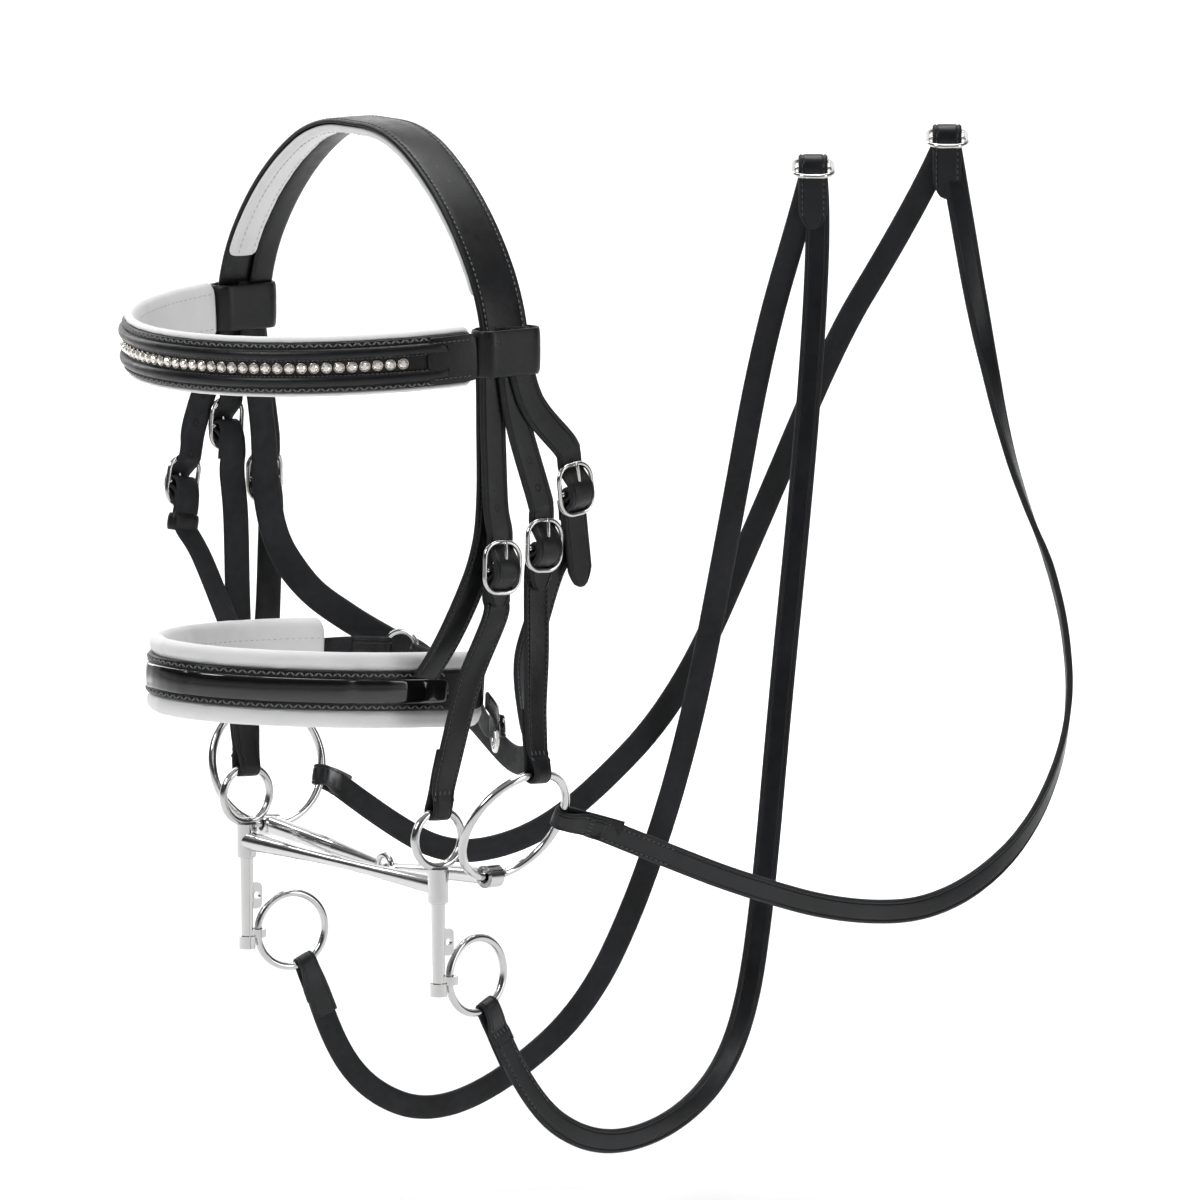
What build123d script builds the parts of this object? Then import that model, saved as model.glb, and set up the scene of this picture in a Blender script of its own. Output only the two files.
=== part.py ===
from build123d import *
import math
import os

os.makedirs("parts", exist_ok=True)

# Double bridle, millimetres. Origin: poll seat, the middle of the crown's flat underside.
# +Z up, the horse looks along -Y, +X is the horse's left (near side), reins go back along +Y.

# ---------------------------------------------------------------- driving dimensions
STRAP_WIDTH = 12.0
STRAP_THICK = 1.8
GAP = 0.3

CROWN_FLAT = 7.0                                    # half length of the flat at the poll
CROWN_ARCS = ((60.0, 31.0), (122.0, 27.0), (72.0, 24.0))   # radius and degrees, poll to temple
PADDING_ARCS = ((60.0, 31.0), (122.0, 27.0), (72.0, 8.0))  # the padding stops above the browband
CROWN_WIDTH = 22.0
CROWN_THICK = 2.2
PAD_THICK = 2.8

BROW_HALF = 89.0                                    # browband plan ellipse, inner face
BROW_DEPTH = 96.0
BROW_HEIGHT = 20.0
BROW_Z = -79.0
BROW_SLOPE = 0.055                                  # the front hangs a little lower
BROW_END_Y = -15.2
LOOP_MIDDLE_Y = 0.7                                 # the loops sit a little behind the temple
CRYSTAL_COUNT = 45
CRYSTAL_PITCH = 5.0
CRYSTAL_RADIUS = 2.15

NOSE_HALF = 52.5                                    # noseband plan ellipse, inner face
NOSE_DEPTH = 93.5
NOSE_Z = -218.5
NOSE_SLOPE = -0.065                                 # the front sits a little higher
NOSE_END_Y = 13.0
NOSE_PAD_HEIGHT = 26.0
NOSE_PAD_THICK = 5.0

MOUTH_X = 67.6                                      # curb cheeks
CURB_Y = -15.0
TOP_RING_Z = -276.0
TOP_RING_R = 11.3
TOP_RING_WIRE = 1.7
COLLAR_Z = -295.0
FOOT_Z = -337.0
REIN_RING_R = 15.2
REIN_RING_WIRE = 1.6
LIP_EYE_R = 1.5

BARREL_X = 78.0                                     # bradoon
BARREL_Y = 3.2
BARREL_Z = -291.5
BRADOON_R = 25.3
BRADOON_WIRE = 1.75
BARREL_CLEARANCE = 0.95                              # room for the arm to rock on its ring
BRADOON_TILT = {1: 29.0, -1: 12.0}                  # degrees that each ring leans outward

FRAME_ACROSS = 18.0                                 # strap buckles
FRAME_UP = 22.0
FRAME_WIRE = 1.9
FRAME_LIFT = 4.6                                    # wire's middle above the cheek strap's middle
BAR_DROP = -1.0                                     # the bar sits a little below the frame's middle
SLOT_MIDDLE = 1.45
SLOT_LENGTH = 10.1
TONGUE_REACH = 12.2

REIN_WIDTH = 10.0
REIN_CORE = 5.3                                     # round core with the flat rein's section area


def save(piece, name):
    """Label a finished piece and write it."""
    piece.part.label = name
    export_step(piece.part, f"parts/{name}.step")


def unit(v):
    """The unit vector along v."""
    return Vector(*v).normalized()


# ---------------------------------------------------------------- straps
def stations(route, face):
    """Planes across a flat strap: x along its width, z along its run."""
    spots = [Vector(*p) for p in route]
    planes = []
    for i, spot in enumerate(spots):
        ahead = spots[min(i + 1, len(spots) - 1)] - spots[max(i - 1, 0)]
        outward = Vector(*face[i]) if isinstance(face[0], tuple) else Vector(*face)
        across = ahead.cross(outward).normalized()
        planes.append(Plane(origin=spot, x_dir=across, z_dir=ahead.normalized()))
    return planes


def flat_strap(name, route, face, width=STRAP_WIDTH, thick=STRAP_THICK, eye=None, fold=None, slot=None):
    """A strap along its route, with an eye at its end, a fold round a buckle's bar, or a tongue slot."""
    with BuildPart() as strap:
        for plane in stations(route, face):
            with BuildSketch(plane):
                Rectangle(width, thick)
        loft(ruled=True)
        if fold:
            add(buckle_fold(fold))
        if slot:
            add(tongue_slot(slot), mode=Mode.SUBTRACT)
        if eye:
            with BuildSketch(eye["plane"]):
                Circle(eye["bore"] + STRAP_THICK)
            extrude(amount=eye["length"] / 2, both=True)
            with BuildSketch(eye["plane"]):
                Circle(eye["bore"])
            extrude(amount=eye["length"], both=True, mode=Mode.SUBTRACT)
    save(strap, name)


def tongue_slot(place):
    """The slot that a buckle's tongue turns in."""
    return place * Pos(0, SLOT_MIDDLE, FRAME_LIFT + 3) * Box(3.4, SLOT_LENGTH, 10.8, mode=Mode.PRIVATE)


def buckle_fold(place):
    """The fold of leather round the buckle's bar, slotted for the tongue."""
    axis = Pos(0, BAR_DROP, FRAME_LIFT) * Rot(0, 90, 0)
    roll = place * axis * Cylinder(2.3, STRAP_WIDTH, mode=Mode.PRIVATE)
    web = place * Pos(0, BAR_DROP, 1.9) * Box(STRAP_WIDTH, 4.0, 5.4, mode=Mode.PRIVATE)
    bar = place * axis * Cylinder(1.0, 20, mode=Mode.PRIVATE)
    return roll + web - bar - tongue_slot(place)


def buckle_point(name, place, lead, tail=16.0):
    """A point of the headpiece: down to its buckle, over the bar, and out to its tip."""
    profile = ((8.3, 2.1), (2.2, 8.4), (-4.2, 8.4), (-8.0, 2.1), (-13.0, 2.1), (-tail, 2.1))
    over = [(place * Pos(0, up, out)).position for up, out in profile]
    route = lead + [(p.X, p.Y, p.Z) for p in over]
    outward = Plane(place).z_dir
    flat_strap(name, route, (outward.X, outward.Y, outward.Z), slot=place)


def buckle(name, plane):
    """A wire frame with its bar, and the tongue that turns on the bar."""
    lifted = plane * Pos(0, 0, FRAME_LIFT)
    with BuildPart() as frame:
        with BuildSketch(Plane(lifted)):
            RectangleRounded(FRAME_ACROSS, FRAME_UP, 5.0)
            RectangleRounded(FRAME_ACROSS - 2 * FRAME_WIRE, FRAME_UP - 2 * FRAME_WIRE, 3.1,
                             mode=Mode.SUBTRACT)
        extrude(amount=FRAME_WIRE / 2, both=True)
        with BuildSketch(Plane(lifted * Pos(0, BAR_DROP, 0) * Rot(0, 90, 0))):
            Circle(0.9)
        extrude(amount=FRAME_ACROSS / 2 - FRAME_WIRE / 2, both=True)
    save(frame, f"{name}_frame")
    with BuildPart() as pin:
        with BuildSketch(Plane(lifted * Pos(0, BAR_DROP, 0) * Rot(0, 90, 0))):
            Circle(2.1)
        extrude(amount=0.9, both=True)
        with BuildSketch(Plane(lifted * Pos(0, BAR_DROP, 0) * Rot(0, 90, 0))):
            with BuildLine():
                Polyline((-0.9, 1.0), (-3.1, 5.0), (-3.1, TONGUE_REACH), (-1.5, TONGUE_REACH), (-1.5, 5.0),
                         (0.7, 1.0), close=True)
            make_face()
        extrude(amount=0.8, both=True)
        with BuildSketch(Plane(lifted * Pos(0, BAR_DROP, 0) * Rot(0, 90, 0))):
            Circle(1.2)
        extrude(amount=4, both=True, mode=Mode.SUBTRACT)
    save(pin, f"{name}_tongue")


def buckle_plane(origin, outward, along):
    """A buckle's place: x across the strap, y along it, z out of its face."""
    return Plane(origin=origin, x_dir=unit(along).cross(unit(outward)), z_dir=unit(outward)).location


# ---------------------------------------------------------------- headpiece
def crown_chain(lift, arcs):
    """Tangent arcs from the poll down the near side, lifted off the underside."""
    chain = [Line((0, lift), (CROWN_FLAT, lift))]
    direction = (1, 0)
    for radius, turn in arcs:
        chain.append(JernArc(start=chain[-1] @ 1, tangent=direction, radius=radius + lift, arc_size=-turn))
        direction = chain[-1] % 1
    return chain


def crown_layer(name, low, high, y_from, y_to, arcs):
    """One layer of the headpiece between two lifts, across a stretch of its width."""
    with BuildPart() as layer:
        with BuildSketch(Plane.XZ.offset(-y_from)):
            with BuildLine():
                inner = crown_chain(low, arcs)
                outer = crown_chain(high, arcs)
                Line(inner[-1] @ 1, outer[-1] @ 1)
                Line((0, low), (0, high))
            make_face()
        extrude(amount=-(y_to - y_from))
        mirror(about=Plane.YZ)
    save(layer, name)


def band_ring(name, half, depth, thick, height, z, slope, end_y, cut_from=None):
    """A band on an elliptic plan, open at the back, in a plane that tilts from side to front."""
    tilted = Plane(origin=(0, 0, z), x_dir=(1, 0, 0), z_dir=(0, -slope, 1))
    with BuildPart() as band:
        with BuildSketch(tilted):
            Ellipse(half + thick, depth + thick)
            Ellipse(half, depth, mode=Mode.SUBTRACT)
            with Locations((0, end_y + 200)):
                Rectangle(400, 400, mode=Mode.SUBTRACT)
        extrude(amount=height / 2, both=True)
        if cut_from:
            with BuildSketch(tilted):
                Ellipse(half + thick + 1, depth + thick + 1)
            extrude(amount=cut_from / 2, both=True, mode=Mode.SUBTRACT)
    save(band, name)


crown_layer("crown_padding", 0, PAD_THICK, -10.4, 2, PADDING_ARCS)
crown_layer("sliphead", 0.6, PAD_THICK, 2 + GAP, 13, CROWN_ARCS)
crown_layer("crown_strap", PAD_THICK + GAP, PAD_THICK + GAP + CROWN_THICK, -CROWN_WIDTH / 2, CROWN_WIDTH / 2,
            CROWN_ARCS)


def chain_end(lift, arcs):
    """Where the crown's tangent arcs end: x and z."""
    x, z, before = CROWN_FLAT, lift, 0.0
    for radius, turn in arcs:
        after = before + math.radians(turn)
        x += (radius + lift) * (math.sin(after) - math.sin(before))
        z -= (radius + lift) * (math.cos(before) - math.cos(after))
        before = after
    return x, z


TEMPLE_X, TEMPLE_Z = chain_end(PAD_THICK, CROWN_ARCS)

band_ring("browband_padding", BROW_HALF, BROW_DEPTH, 2.8, BROW_HEIGHT + 1.5, BROW_Z, BROW_SLOPE, BROW_END_Y)
band_ring("browband_strap", BROW_HALF + 3.1, BROW_DEPTH + 3.1, 2.0, BROW_HEIGHT, BROW_Z, BROW_SLOPE,
          BROW_END_Y)
band_ring("browband_rolls", BROW_HALF + 5.4, BROW_DEPTH + 5.4, 1.8, 16.0, BROW_Z, BROW_SLOPE,
          BROW_END_Y - 10, cut_from=5.4)

with BuildPart() as browband_loops:
    for side in (1, -1):
        with BuildSketch(Plane.XY.offset(BROW_Z - 9)):
            with Locations((side * (TEMPLE_X + 0.6), LOOP_MIDDLE_Y)):
                RectangleRounded(12.8, 29.8, 2.0)
                RectangleRounded(9.6, 26.6, 0.8, mode=Mode.SUBTRACT)
        extrude(amount=18)
save(browband_loops, "browband_loops")

crystal_plane = Plane(origin=(0, 0, BROW_Z), x_dir=(1, 0, 0), z_dir=(0, -BROW_SLOPE, 1))
with BuildPart() as browband_crystals:
    half, depth = BROW_HALF + 5.5, BROW_DEPTH + 5.5
    for i in range(CRYSTAL_COUNT):
        angle = -math.pi / 2 + (i - (CRYSTAL_COUNT - 1) / 2) * CRYSTAL_PITCH / ((half + depth) / 2)
        spot = crystal_plane.from_local_coords(Vector(half * math.cos(angle), depth * math.sin(angle), 0))
        outward = crystal_plane.from_local_coords(
            Vector((half + 1 / half) * math.cos(angle), (depth + 1 / depth) * math.sin(angle), 0)) - spot
        with BuildSketch(Plane(origin=spot, x_dir=(0, 0, 1), z_dir=outward)):
            Circle(CRYSTAL_RADIUS)
        extrude(amount=1.8, taper=12)
save(browband_crystals, "browband_crystals")

# ---------------------------------------------------------------- noseband
band_ring("noseband_padding", NOSE_HALF, NOSE_DEPTH, NOSE_PAD_THICK, NOSE_PAD_HEIGHT, NOSE_Z, NOSE_SLOPE,
          NOSE_END_Y)
band_ring("noseband_strap", NOSE_HALF + NOSE_PAD_THICK + GAP, NOSE_DEPTH + NOSE_PAD_THICK + GAP, 1.8, 15.0,
          NOSE_Z, NOSE_SLOPE, NOSE_END_Y)
band_ring("noseband_patent", NOSE_HALF + NOSE_PAD_THICK + 2.4, NOSE_DEPTH + NOSE_PAD_THICK + 2.4, 1.2, 10.0,
          NOSE_Z, NOSE_SLOPE, NOSE_END_Y - 18)

CHIN_RING = Vector(-28, 34, -215.5)
chin_buckle = buckle_plane((42, 26, -238.5), (0.5, 0.86, 0), (0.72, -0.42, 0.42))
with BuildPart() as chin_ring:
    with Locations(Plane(origin=CHIN_RING, z_dir=(0.45, -0.85, 0.2)).location):
        Torus(7.2, 1.1)
save(chin_ring, "chin_ring")
chin_ends = {"far": ([(-57.5, 14.5, -217.5), (-48, 25, -216.5), (-38.2, 31.5, -216)], (-0.5, 0.85, 0)),
             "near": ([(59.2, 14.8, -224), (57.5, 20, -229), (54, 22.6, -232.5)], (0.6, 0.8, 0))}
with BuildPart() as chin_end_straps:
    for route, face in chin_ends.values():
        for plane in stations(route, face):
            with BuildSketch(plane):
                Rectangle(9, STRAP_THICK)
        loft(ruled=True)
save(chin_end_straps, "chin_end_straps")
flat_strap("chin_strap", [(-19.5, 38, -217.5), (-6, 40, -223), (14, 40, -231.5), (32, 34.5, -239.5),
                          (39.5, 28.5, -240)], (0.2, 1, 0), width=9)
buckle("chin_buckle", chin_buckle)

# ---------------------------------------------------------------- near and far strap group
TOP = TEMPLE_Z - 1.2
OUT = {1: (1, 0, 0), -1: (-1, 0, 0)}


def ply(side, k, y, z=TOP):
    """The middle of the k-th strap in the stack inside a browband loop."""
    return (side * (TEMPLE_X - 2.7 + 2.15 * k), y, z)


near_curb_buckle = buckle_plane((90, -2.5, -165), (1, -0.05, 0.05), (-0.04, 0.06, 1))
near_bradoon_buckle = buckle_plane((91.5, 16.6, -157.5), (1, 0, 0.03), (-0.04, 0.05, 1))
near_throat_buckle = buckle_plane((92, 31.5, -136), (1, 0.05, 0), (0, -0.12, 1))
far_curb_buckle = buckle_plane((-89, -6, -127), (-1, -0.1, 0), (0.03, 0.05, 1))
far_nose_buckle = buckle_plane((-91, -26, -149), (-1, -0.15, 0), (0.03, 0.2, 1))
far_bradoon_buckle = buckle_plane((-89.5, 12.5, -150), (-1, 0, 0), (0.03, 0, 1))
for label, place in (("near_curb_buckle", near_curb_buckle), ("near_bradoon_buckle", near_bradoon_buckle),
                     ("near_throat_buckle", near_throat_buckle), ("far_curb_buckle", far_curb_buckle),
                     ("far_nose_buckle", far_nose_buckle), ("far_bradoon_buckle", far_bradoon_buckle)):
    buckle(label, place)

buckle_point("near_curb_point", near_curb_buckle, [ply(1, 1, -5), (91.3, -4.8, -110), (91.5, -3.7, -140)])
buckle_point("near_bradoon_point", near_bradoon_buckle, [ply(1, 2, 1), (93.6, 5, -105), (94.0, 15.6, -138)],
             tail=18.0)
buckle_point("near_throat_point", near_throat_buckle, [ply(1, 3, 4), (95.4, 11, -100), (94.6, 27.5, -118)],
             tail=40.0)
buckle_point("far_nose_point", far_nose_buckle,
             [ply(-1, 3, -4.2), (-95.0, -5.0, -90), (-95.2, -11.5, -102), (-94.2, -21.5, -126)])
buckle_point("far_curb_point", far_curb_buckle, [ply(-1, 2, -3), (-92.6, -4.6, -100), (-91.8, -5.4, -108)])
buckle_point("far_bradoon_point", far_bradoon_buckle, [ply(-1, 1, 4), (-91.4, 9, -110), (-91.6, 12, -130)])


def drop(place, w, n=0.0):
    """A point on a buckle's middle line, w along the strap and n off it."""
    p = (place * Pos(0, w, n)).position
    return (p.X, p.Y, p.Z)


def faces(place, side, count):
    """Face directions along a strap that starts flat in its buckle."""
    outward = Plane(place).z_dir
    return [(outward.X, outward.Y, outward.Z)] * 2 + [OUT[side]] * (count - 2)


def ring_eye(centre, hang, normal, radius, wire, length):
    """The bore of a leather eye round the top of a ring that hangs from it."""
    hang = unit(hang)
    sag = (length / 2) ** 2 / (2 * radius)
    spot = Vector(*centre) + hang * (radius - sag / 2)
    run = unit(normal).cross(hang)
    return {"plane": Plane(origin=spot, x_dir=hang, z_dir=run), "bore": wire + sag / 2 + 0.7,
            "length": length}


TOP_RING = {side: (side * MOUTH_X, CURB_Y, TOP_RING_Z) for side in (1, -1)}
top_eye = {side: ring_eye(TOP_RING[side], (0, 0, 1), (1, 0, 0), TOP_RING_R, TOP_RING_WIRE, 9.0)
           for side in (1, -1)}
TOP_EYE_Z = TOP_RING_Z + TOP_RING_R + 4.2
flat_strap("near_curb_cheek", [drop(near_curb_buckle, -1), drop(near_curb_buckle, -16), (82.5, -10.5, -212),
                               (74, -13.8, -243), (MOUTH_X, CURB_Y, TOP_EYE_Z)],
           faces(near_curb_buckle, 1, 5), eye=top_eye[1], fold=near_curb_buckle)
flat_strap("far_curb_cheek", [drop(far_curb_buckle, -1), drop(far_curb_buckle, -16), (-85.5, -7.5, -165),
                              (-79, -11, -205), (-73, -13.5, -238), (-MOUTH_X, CURB_Y, TOP_EYE_Z)],
           faces(far_curb_buckle, -1, 6), width=13.0, eye=top_eye[-1], fold=far_curb_buckle)

BRADOON = {}
for side in (1, -1):
    lean = math.radians(BRADOON_TILT[side])
    hang = unit((side * math.sin(lean), 0.11, math.cos(lean)))
    barrel = Vector(side * BARREL_X, BARREL_Y, BARREL_Z)
    normal = unit((side * math.cos(lean), 0.1, -math.sin(lean)))
    normal = (normal - hang * normal.dot(hang)).normalized()
    BRADOON[side] = {"hang": hang, "barrel": barrel, "centre": barrel + hang * BRADOON_R, "normal": normal,
                     "eye": ring_eye(barrel + hang * BRADOON_R, hang, normal, BRADOON_R, BRADOON_WIRE, 10.0)}


def above_ring(side, rise):
    """A point above the bradoon ring's eye, along the line that the ring hangs on."""
    spot = BRADOON[side]["centre"] + BRADOON[side]["hang"] * (BRADOON_R + rise)
    return (spot.X, spot.Y, spot.Z)


flat_strap("near_bradoon_cheek", [drop(near_bradoon_buckle, -1), drop(near_bradoon_buckle, -20),
                                  (95.5, 13.2, -200), (99, 10.2, -222), above_ring(1, 4)],
           faces(near_bradoon_buckle, 1, 5), eye=BRADOON[1]["eye"], fold=near_bradoon_buckle)
flat_strap("far_bradoon_cheek", [drop(far_bradoon_buckle, -1), drop(far_bradoon_buckle, -16),
                                 (-88.5, 10.5, -198), (-88, 8.8, -222), above_ring(-1, 4)],
           faces(far_bradoon_buckle, -1, 5), eye=BRADOON[-1]["eye"], fold=far_bradoon_buckle)
flat_strap("near_noseband_hanger", [ply(1, 0, -5.5), (88.2, -4.5, -110), (86.9, -3.6, -145),
                                    (85.4, -6.5, -164), (81.5, -11.5, -180), (75.5, -15.5, -195),
                                    (63.6, -18, -211)], OUT[1])
flat_strap("far_noseband_hanger", [drop(far_nose_buckle, -1), drop(far_nose_buckle, -14), (-84, -25, -180),
                                   (-63.6, -23.5, -210)],
           faces(far_nose_buckle, -1, 4), fold=far_nose_buckle)
flat_strap("throatlash", [drop(near_throat_buckle, -1), drop(near_throat_buckle, -18), (89.0, 26, -168),
                          (86, 20.5, -188), (79, 20, -206), (67, 28, -231), (51, 43.5, -249.5),
                          (27, 50, -254.5),
                          (0, 50, -241), (-30, 48, -222), (-47, 40, -214.5), (-60, 30, -206),
                          (-71.5, 19, -194.5),
                          (-79.5, 10.5, -178), (-83, 6.5, -158), (-85, 5.5, -128), (-88.5, 4.2, -100),
                          ply(-1, 0, 3)],
           [(1, 0, 0)] * 5 + [(0.8, 0.6, 0)] + [(0.4, 0.9, 0)] + [(0.1, 1, 0)] * 2 + [(-0.3, 0.95, 0)] * 2
           + [(-0.7, 0.7, 0)] * 2 + [(-1, 0.2, 0)] * 2 + [(-1, 0, 0)] * 3, fold=near_throat_buckle)

# ---------------------------------------------------------------- curb bit
MOUTH_LINE = ((MOUTH_X - 0.5, 3.9), (46, 3.3), (22, 2.5), (0, 2.3))
with BuildPart() as curb_mouthpiece:
    with BuildSketch(Plane(origin=(0, CURB_Y, COLLAR_Z), x_dir=(1, 0, 0), z_dir=(0, -1, 0))):
        with BuildLine():
            Line((0, 0), (MOUTH_LINE[0][0], 0))
            Line((MOUTH_LINE[0][0], 0), MOUTH_LINE[0])
            Spline(*MOUTH_LINE)
            Line(MOUTH_LINE[-1], (0, 0))
        make_face()
    revolve(axis=Axis((0, CURB_Y, COLLAR_Z), (1, 0, 0)))
    mirror(about=Plane.YZ)
save(curb_mouthpiece, "curb_mouthpiece")

for side, word in ((1, "near"), (-1, "far")):
    with BuildPart() as cheek:
        with Locations(Plane(origin=(side * MOUTH_X, CURB_Y, TOP_RING_Z), z_dir=(1, 0, 0)).location):
            Torus(TOP_RING_R, TOP_RING_WIRE)
        with BuildSketch(Plane(origin=(side * MOUTH_X, CURB_Y, COLLAR_Z), z_dir=(0, 0, 1))):
            Circle(4.2)
        extrude(amount=7.0, both=True)
        fillet(cheek.edges().filter_by(GeomType.CIRCLE).group_by(Axis.Z)[0], 1.0)
        with BuildSketch(Plane(origin=(side * MOUTH_X, CURB_Y, COLLAR_Z - 5), z_dir=(0, 0, -1))):
            Circle(3.0)
        extrude(amount=COLLAR_Z - 5 - FOOT_Z - 2, taper=1.0)
        with BuildSketch(Plane(origin=(side * MOUTH_X, CURB_Y, FOOT_Z - 2.6), z_dir=(0, 0, 1))):
            Circle(3.4)
        extrude(amount=5.2)
        with BuildSketch(Plane(origin=(side * MOUTH_X, CURB_Y + 5.2, FOOT_Z + 3.4), z_dir=(0, 0, 1))):
            Circle(REIN_RING_WIRE + 2.1)
            with Locations((0, -2.6)):
                Rectangle(4.4, 5.2)
        extrude(amount=1.7, both=True)
        with BuildSketch(Plane(origin=(side * MOUTH_X, CURB_Y + 5.2, FOOT_Z + 3.4), z_dir=(0, 0, 1))):
            Circle(REIN_RING_WIRE + 0.45)
        extrude(amount=4, both=True, mode=Mode.SUBTRACT)
        with BuildSketch(Plane(origin=(side * MOUTH_X, CURB_Y, -318), z_dir=(1, 0, 0), x_dir=(0, 1, 0))):
            with Locations((4.2, 0)):
                RectangleRounded(5.6, 11.0, 2.4)
            with Locations((4.6, 0)):
                Circle(LIP_EYE_R, mode=Mode.SUBTRACT)
        extrude(amount=0.9, both=True)
    save(cheek, f"curb_cheekpiece_{word}")
    ring_turn = math.radians(9)
    with BuildPart() as rein_ring:
        eye = Vector(side * MOUTH_X, CURB_Y + 5.2, FOOT_Z + 3.4)
        middle = eye + Vector(-side * math.sin(ring_turn), math.cos(ring_turn), 0) * REIN_RING_R
        axis = (side * math.cos(ring_turn), math.sin(ring_turn), 0)
        with Locations(Plane(origin=middle, z_dir=axis).location):
            Torus(REIN_RING_R, REIN_RING_WIRE)
    save(rein_ring, f"curb_rein_ring_{word}")

# ---------------------------------------------------------------- bradoon
LINK = Vector(0, 8, -299)
for side, word in ((1, "near"), (-1, "far")):
    data = BRADOON[side]
    tangent = data["normal"].cross(data["hang"]).normalized()
    with BuildPart() as arm:
        start = data["barrel"] - Vector(side * 2.0, 0, 0)
        run = LINK - start
        with BuildSketch(Plane(origin=start, z_dir=run)):
            Circle(3.9)
        with BuildSketch(Plane(origin=start + run * 0.55, z_dir=run)):
            Circle(3.1)
        with BuildSketch(Plane(origin=start + run * 0.915, z_dir=run)):
            Circle(1.7)
        loft(ruled=True)
        with BuildSketch(Plane(origin=data["barrel"], z_dir=tangent, x_dir=data["hang"])):
            Circle(4.6)
        extrude(amount=3.6, both=True)
        with BuildSketch(Plane(origin=data["barrel"], z_dir=tangent, x_dir=data["hang"])):
            Circle(BRADOON_WIRE + BARREL_CLEARANCE)
        extrude(amount=12, both=True, mode=Mode.SUBTRACT)
        upright = (0, 0, 1) if side > 0 else (0, 1, 0)
        hook = Plane(origin=LINK + Vector(side * 2.4, 0, 0), x_dir=(1, 0, 0), z_dir=upright)
        with Locations(hook.location):
            Torus(4.6, 1.4)
    save(arm, f"bradoon_arm_{word}")
    with BuildPart() as ring:
        with Locations(Plane(origin=data["centre"], z_dir=data["normal"]).location):
            Torus(BRADOON_R, BRADOON_WIRE)
    save(ring, f"bradoon_ring_{word}")

# ---------------------------------------------------------------- reins
REIN_THICK = 2.4
REIN_GAP = 1.2                                      # loop to free rein, room for the bend


def rein_loop(name, centre, normal, radius, wire, exit_point, length):
    """The stitched eye of a rein round its ring, down to where the free rein begins."""
    leave = unit(Vector(*exit_point) - centre)
    leave = (leave - normal * leave.dot(normal)).normalized()
    eye = ring_eye(centre, leave, normal, radius, wire, length)
    start = centre + leave * (radius + 3.6)
    end = Vector(*exit_point)
    end = end - (end - start).normalized() * REIN_GAP
    route = [(p.X, p.Y, p.Z) for p in (start, (start + end) * 0.5, end)]
    flat_strap(name, route, (normal.X, normal.Y, normal.Z), width=REIN_WIDTH, thick=REIN_THICK, eye=eye)


def cord(name, route):
    """A rein's free length: straight runs joined by arcs as large as the runs allow."""
    points = [Vector(*p) for p in route]
    radii = []
    for before, here, after in zip(points, points[1:], points[2:]):
        turn = math.radians((here - before).get_angle(after - here))
        radii.append(0.45 * min((here - before).length, (after - here).length) / math.tan(turn / 2))
    with BuildPart() as tube:
        with BuildLine() as line:
            FilletPolyline(*points, radius=radii)
        with BuildSketch(Plane(origin=points[0], z_dir=points[1] - points[0])):
            Circle(REIN_CORE / 2)
        sweep(path=line.wires()[0])
    section = math.pi * REIN_CORE ** 2 / 4
    length = line.wires()[0].length
    print(name, "length", round(length, 1), "least radius", round(min(radii), 1),
          "volume over section times length", round(tube.part.volume / (section * length), 3))
    save(tube, name)


CURB_EXIT = {side: (side * 65.2, 18.2, -361.7) for side in (1, -1)}
BRADOON_EXIT = {1: (95, 45, -274), -1: (-86, 42, -279)}
NEAR_CURB_ROUTE = [CURB_EXIT[1], (67, 31, -389), (66, 60.8, -409), (62, 96.2, -409.5), (56, 129.4, -395.5),
                   (50, 150.6, -369.7), (42, 165.6, -322.7), (29, 184, -243), (17, 203.5, -160),
                   (7, 217, -98), (0.2, 226, -42)]
FAR_CURB_ROUTE = [CURB_EXIT[-1], (-65.6, 26, -383), (-63.5, 43, -405), (-60, 70, -416.5), (-55, 102.6, -407),
                  (-48, 141, -379), (-41, 164, -332), (-32, 183, -265.5), (-22, 196, -178), (-13, 206, -102),
                  (-4.8, 222, -42)]
NEAR_BRADOON_ROUTE = [BRADOON_EXIT[1], (99, 72, -286), (103, 108, -301.5), (104, 161, -319), (101, 212, -323),
                      (93, 262, -302), (82, 295, -259), (65, 303, -206), (46, 291, -157), (24, 288, -94),
                      (1.6, 297.8, -36)]
FAR_BRADOON_ROUTE = [BRADOON_EXIT[-1], (-82, 66.3, -298), (-74, 91, -312.5), (-66, 120.7, -309),
                     (-58, 148.2, -293), (-46, 188, -253), (-34, 218, -183), (-20, 249, -104),
                     (-12.5, 271, -68), (-6.4, 286.8, -36)]
for side, word in ((1, "near"), (-1, "far")):
    turn = math.radians(9)
    eye = Vector(side * MOUTH_X, CURB_Y + 5.2, FOOT_Z + 3.4)
    middle = eye + Vector(-side * math.sin(turn), math.cos(turn), 0) * REIN_RING_R
    rein_loop(f"curb_rein_loop_{word}", middle, Vector(side * math.cos(turn), math.sin(turn), 0),
              REIN_RING_R, REIN_RING_WIRE, CURB_EXIT[side], 8.0)
    rein_loop(f"bradoon_rein_loop_{word}", BRADOON[side]["centre"], BRADOON[side]["normal"],
              BRADOON_R, BRADOON_WIRE, BRADOON_EXIT[side], 9.0)
cord("curb_rein_near", NEAR_CURB_ROUTE)
cord("curb_rein_far", FAR_CURB_ROUTE)
cord("bradoon_rein_near", NEAR_BRADOON_ROUTE)
cord("bradoon_rein_far", FAR_BRADOON_ROUTE)

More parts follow.
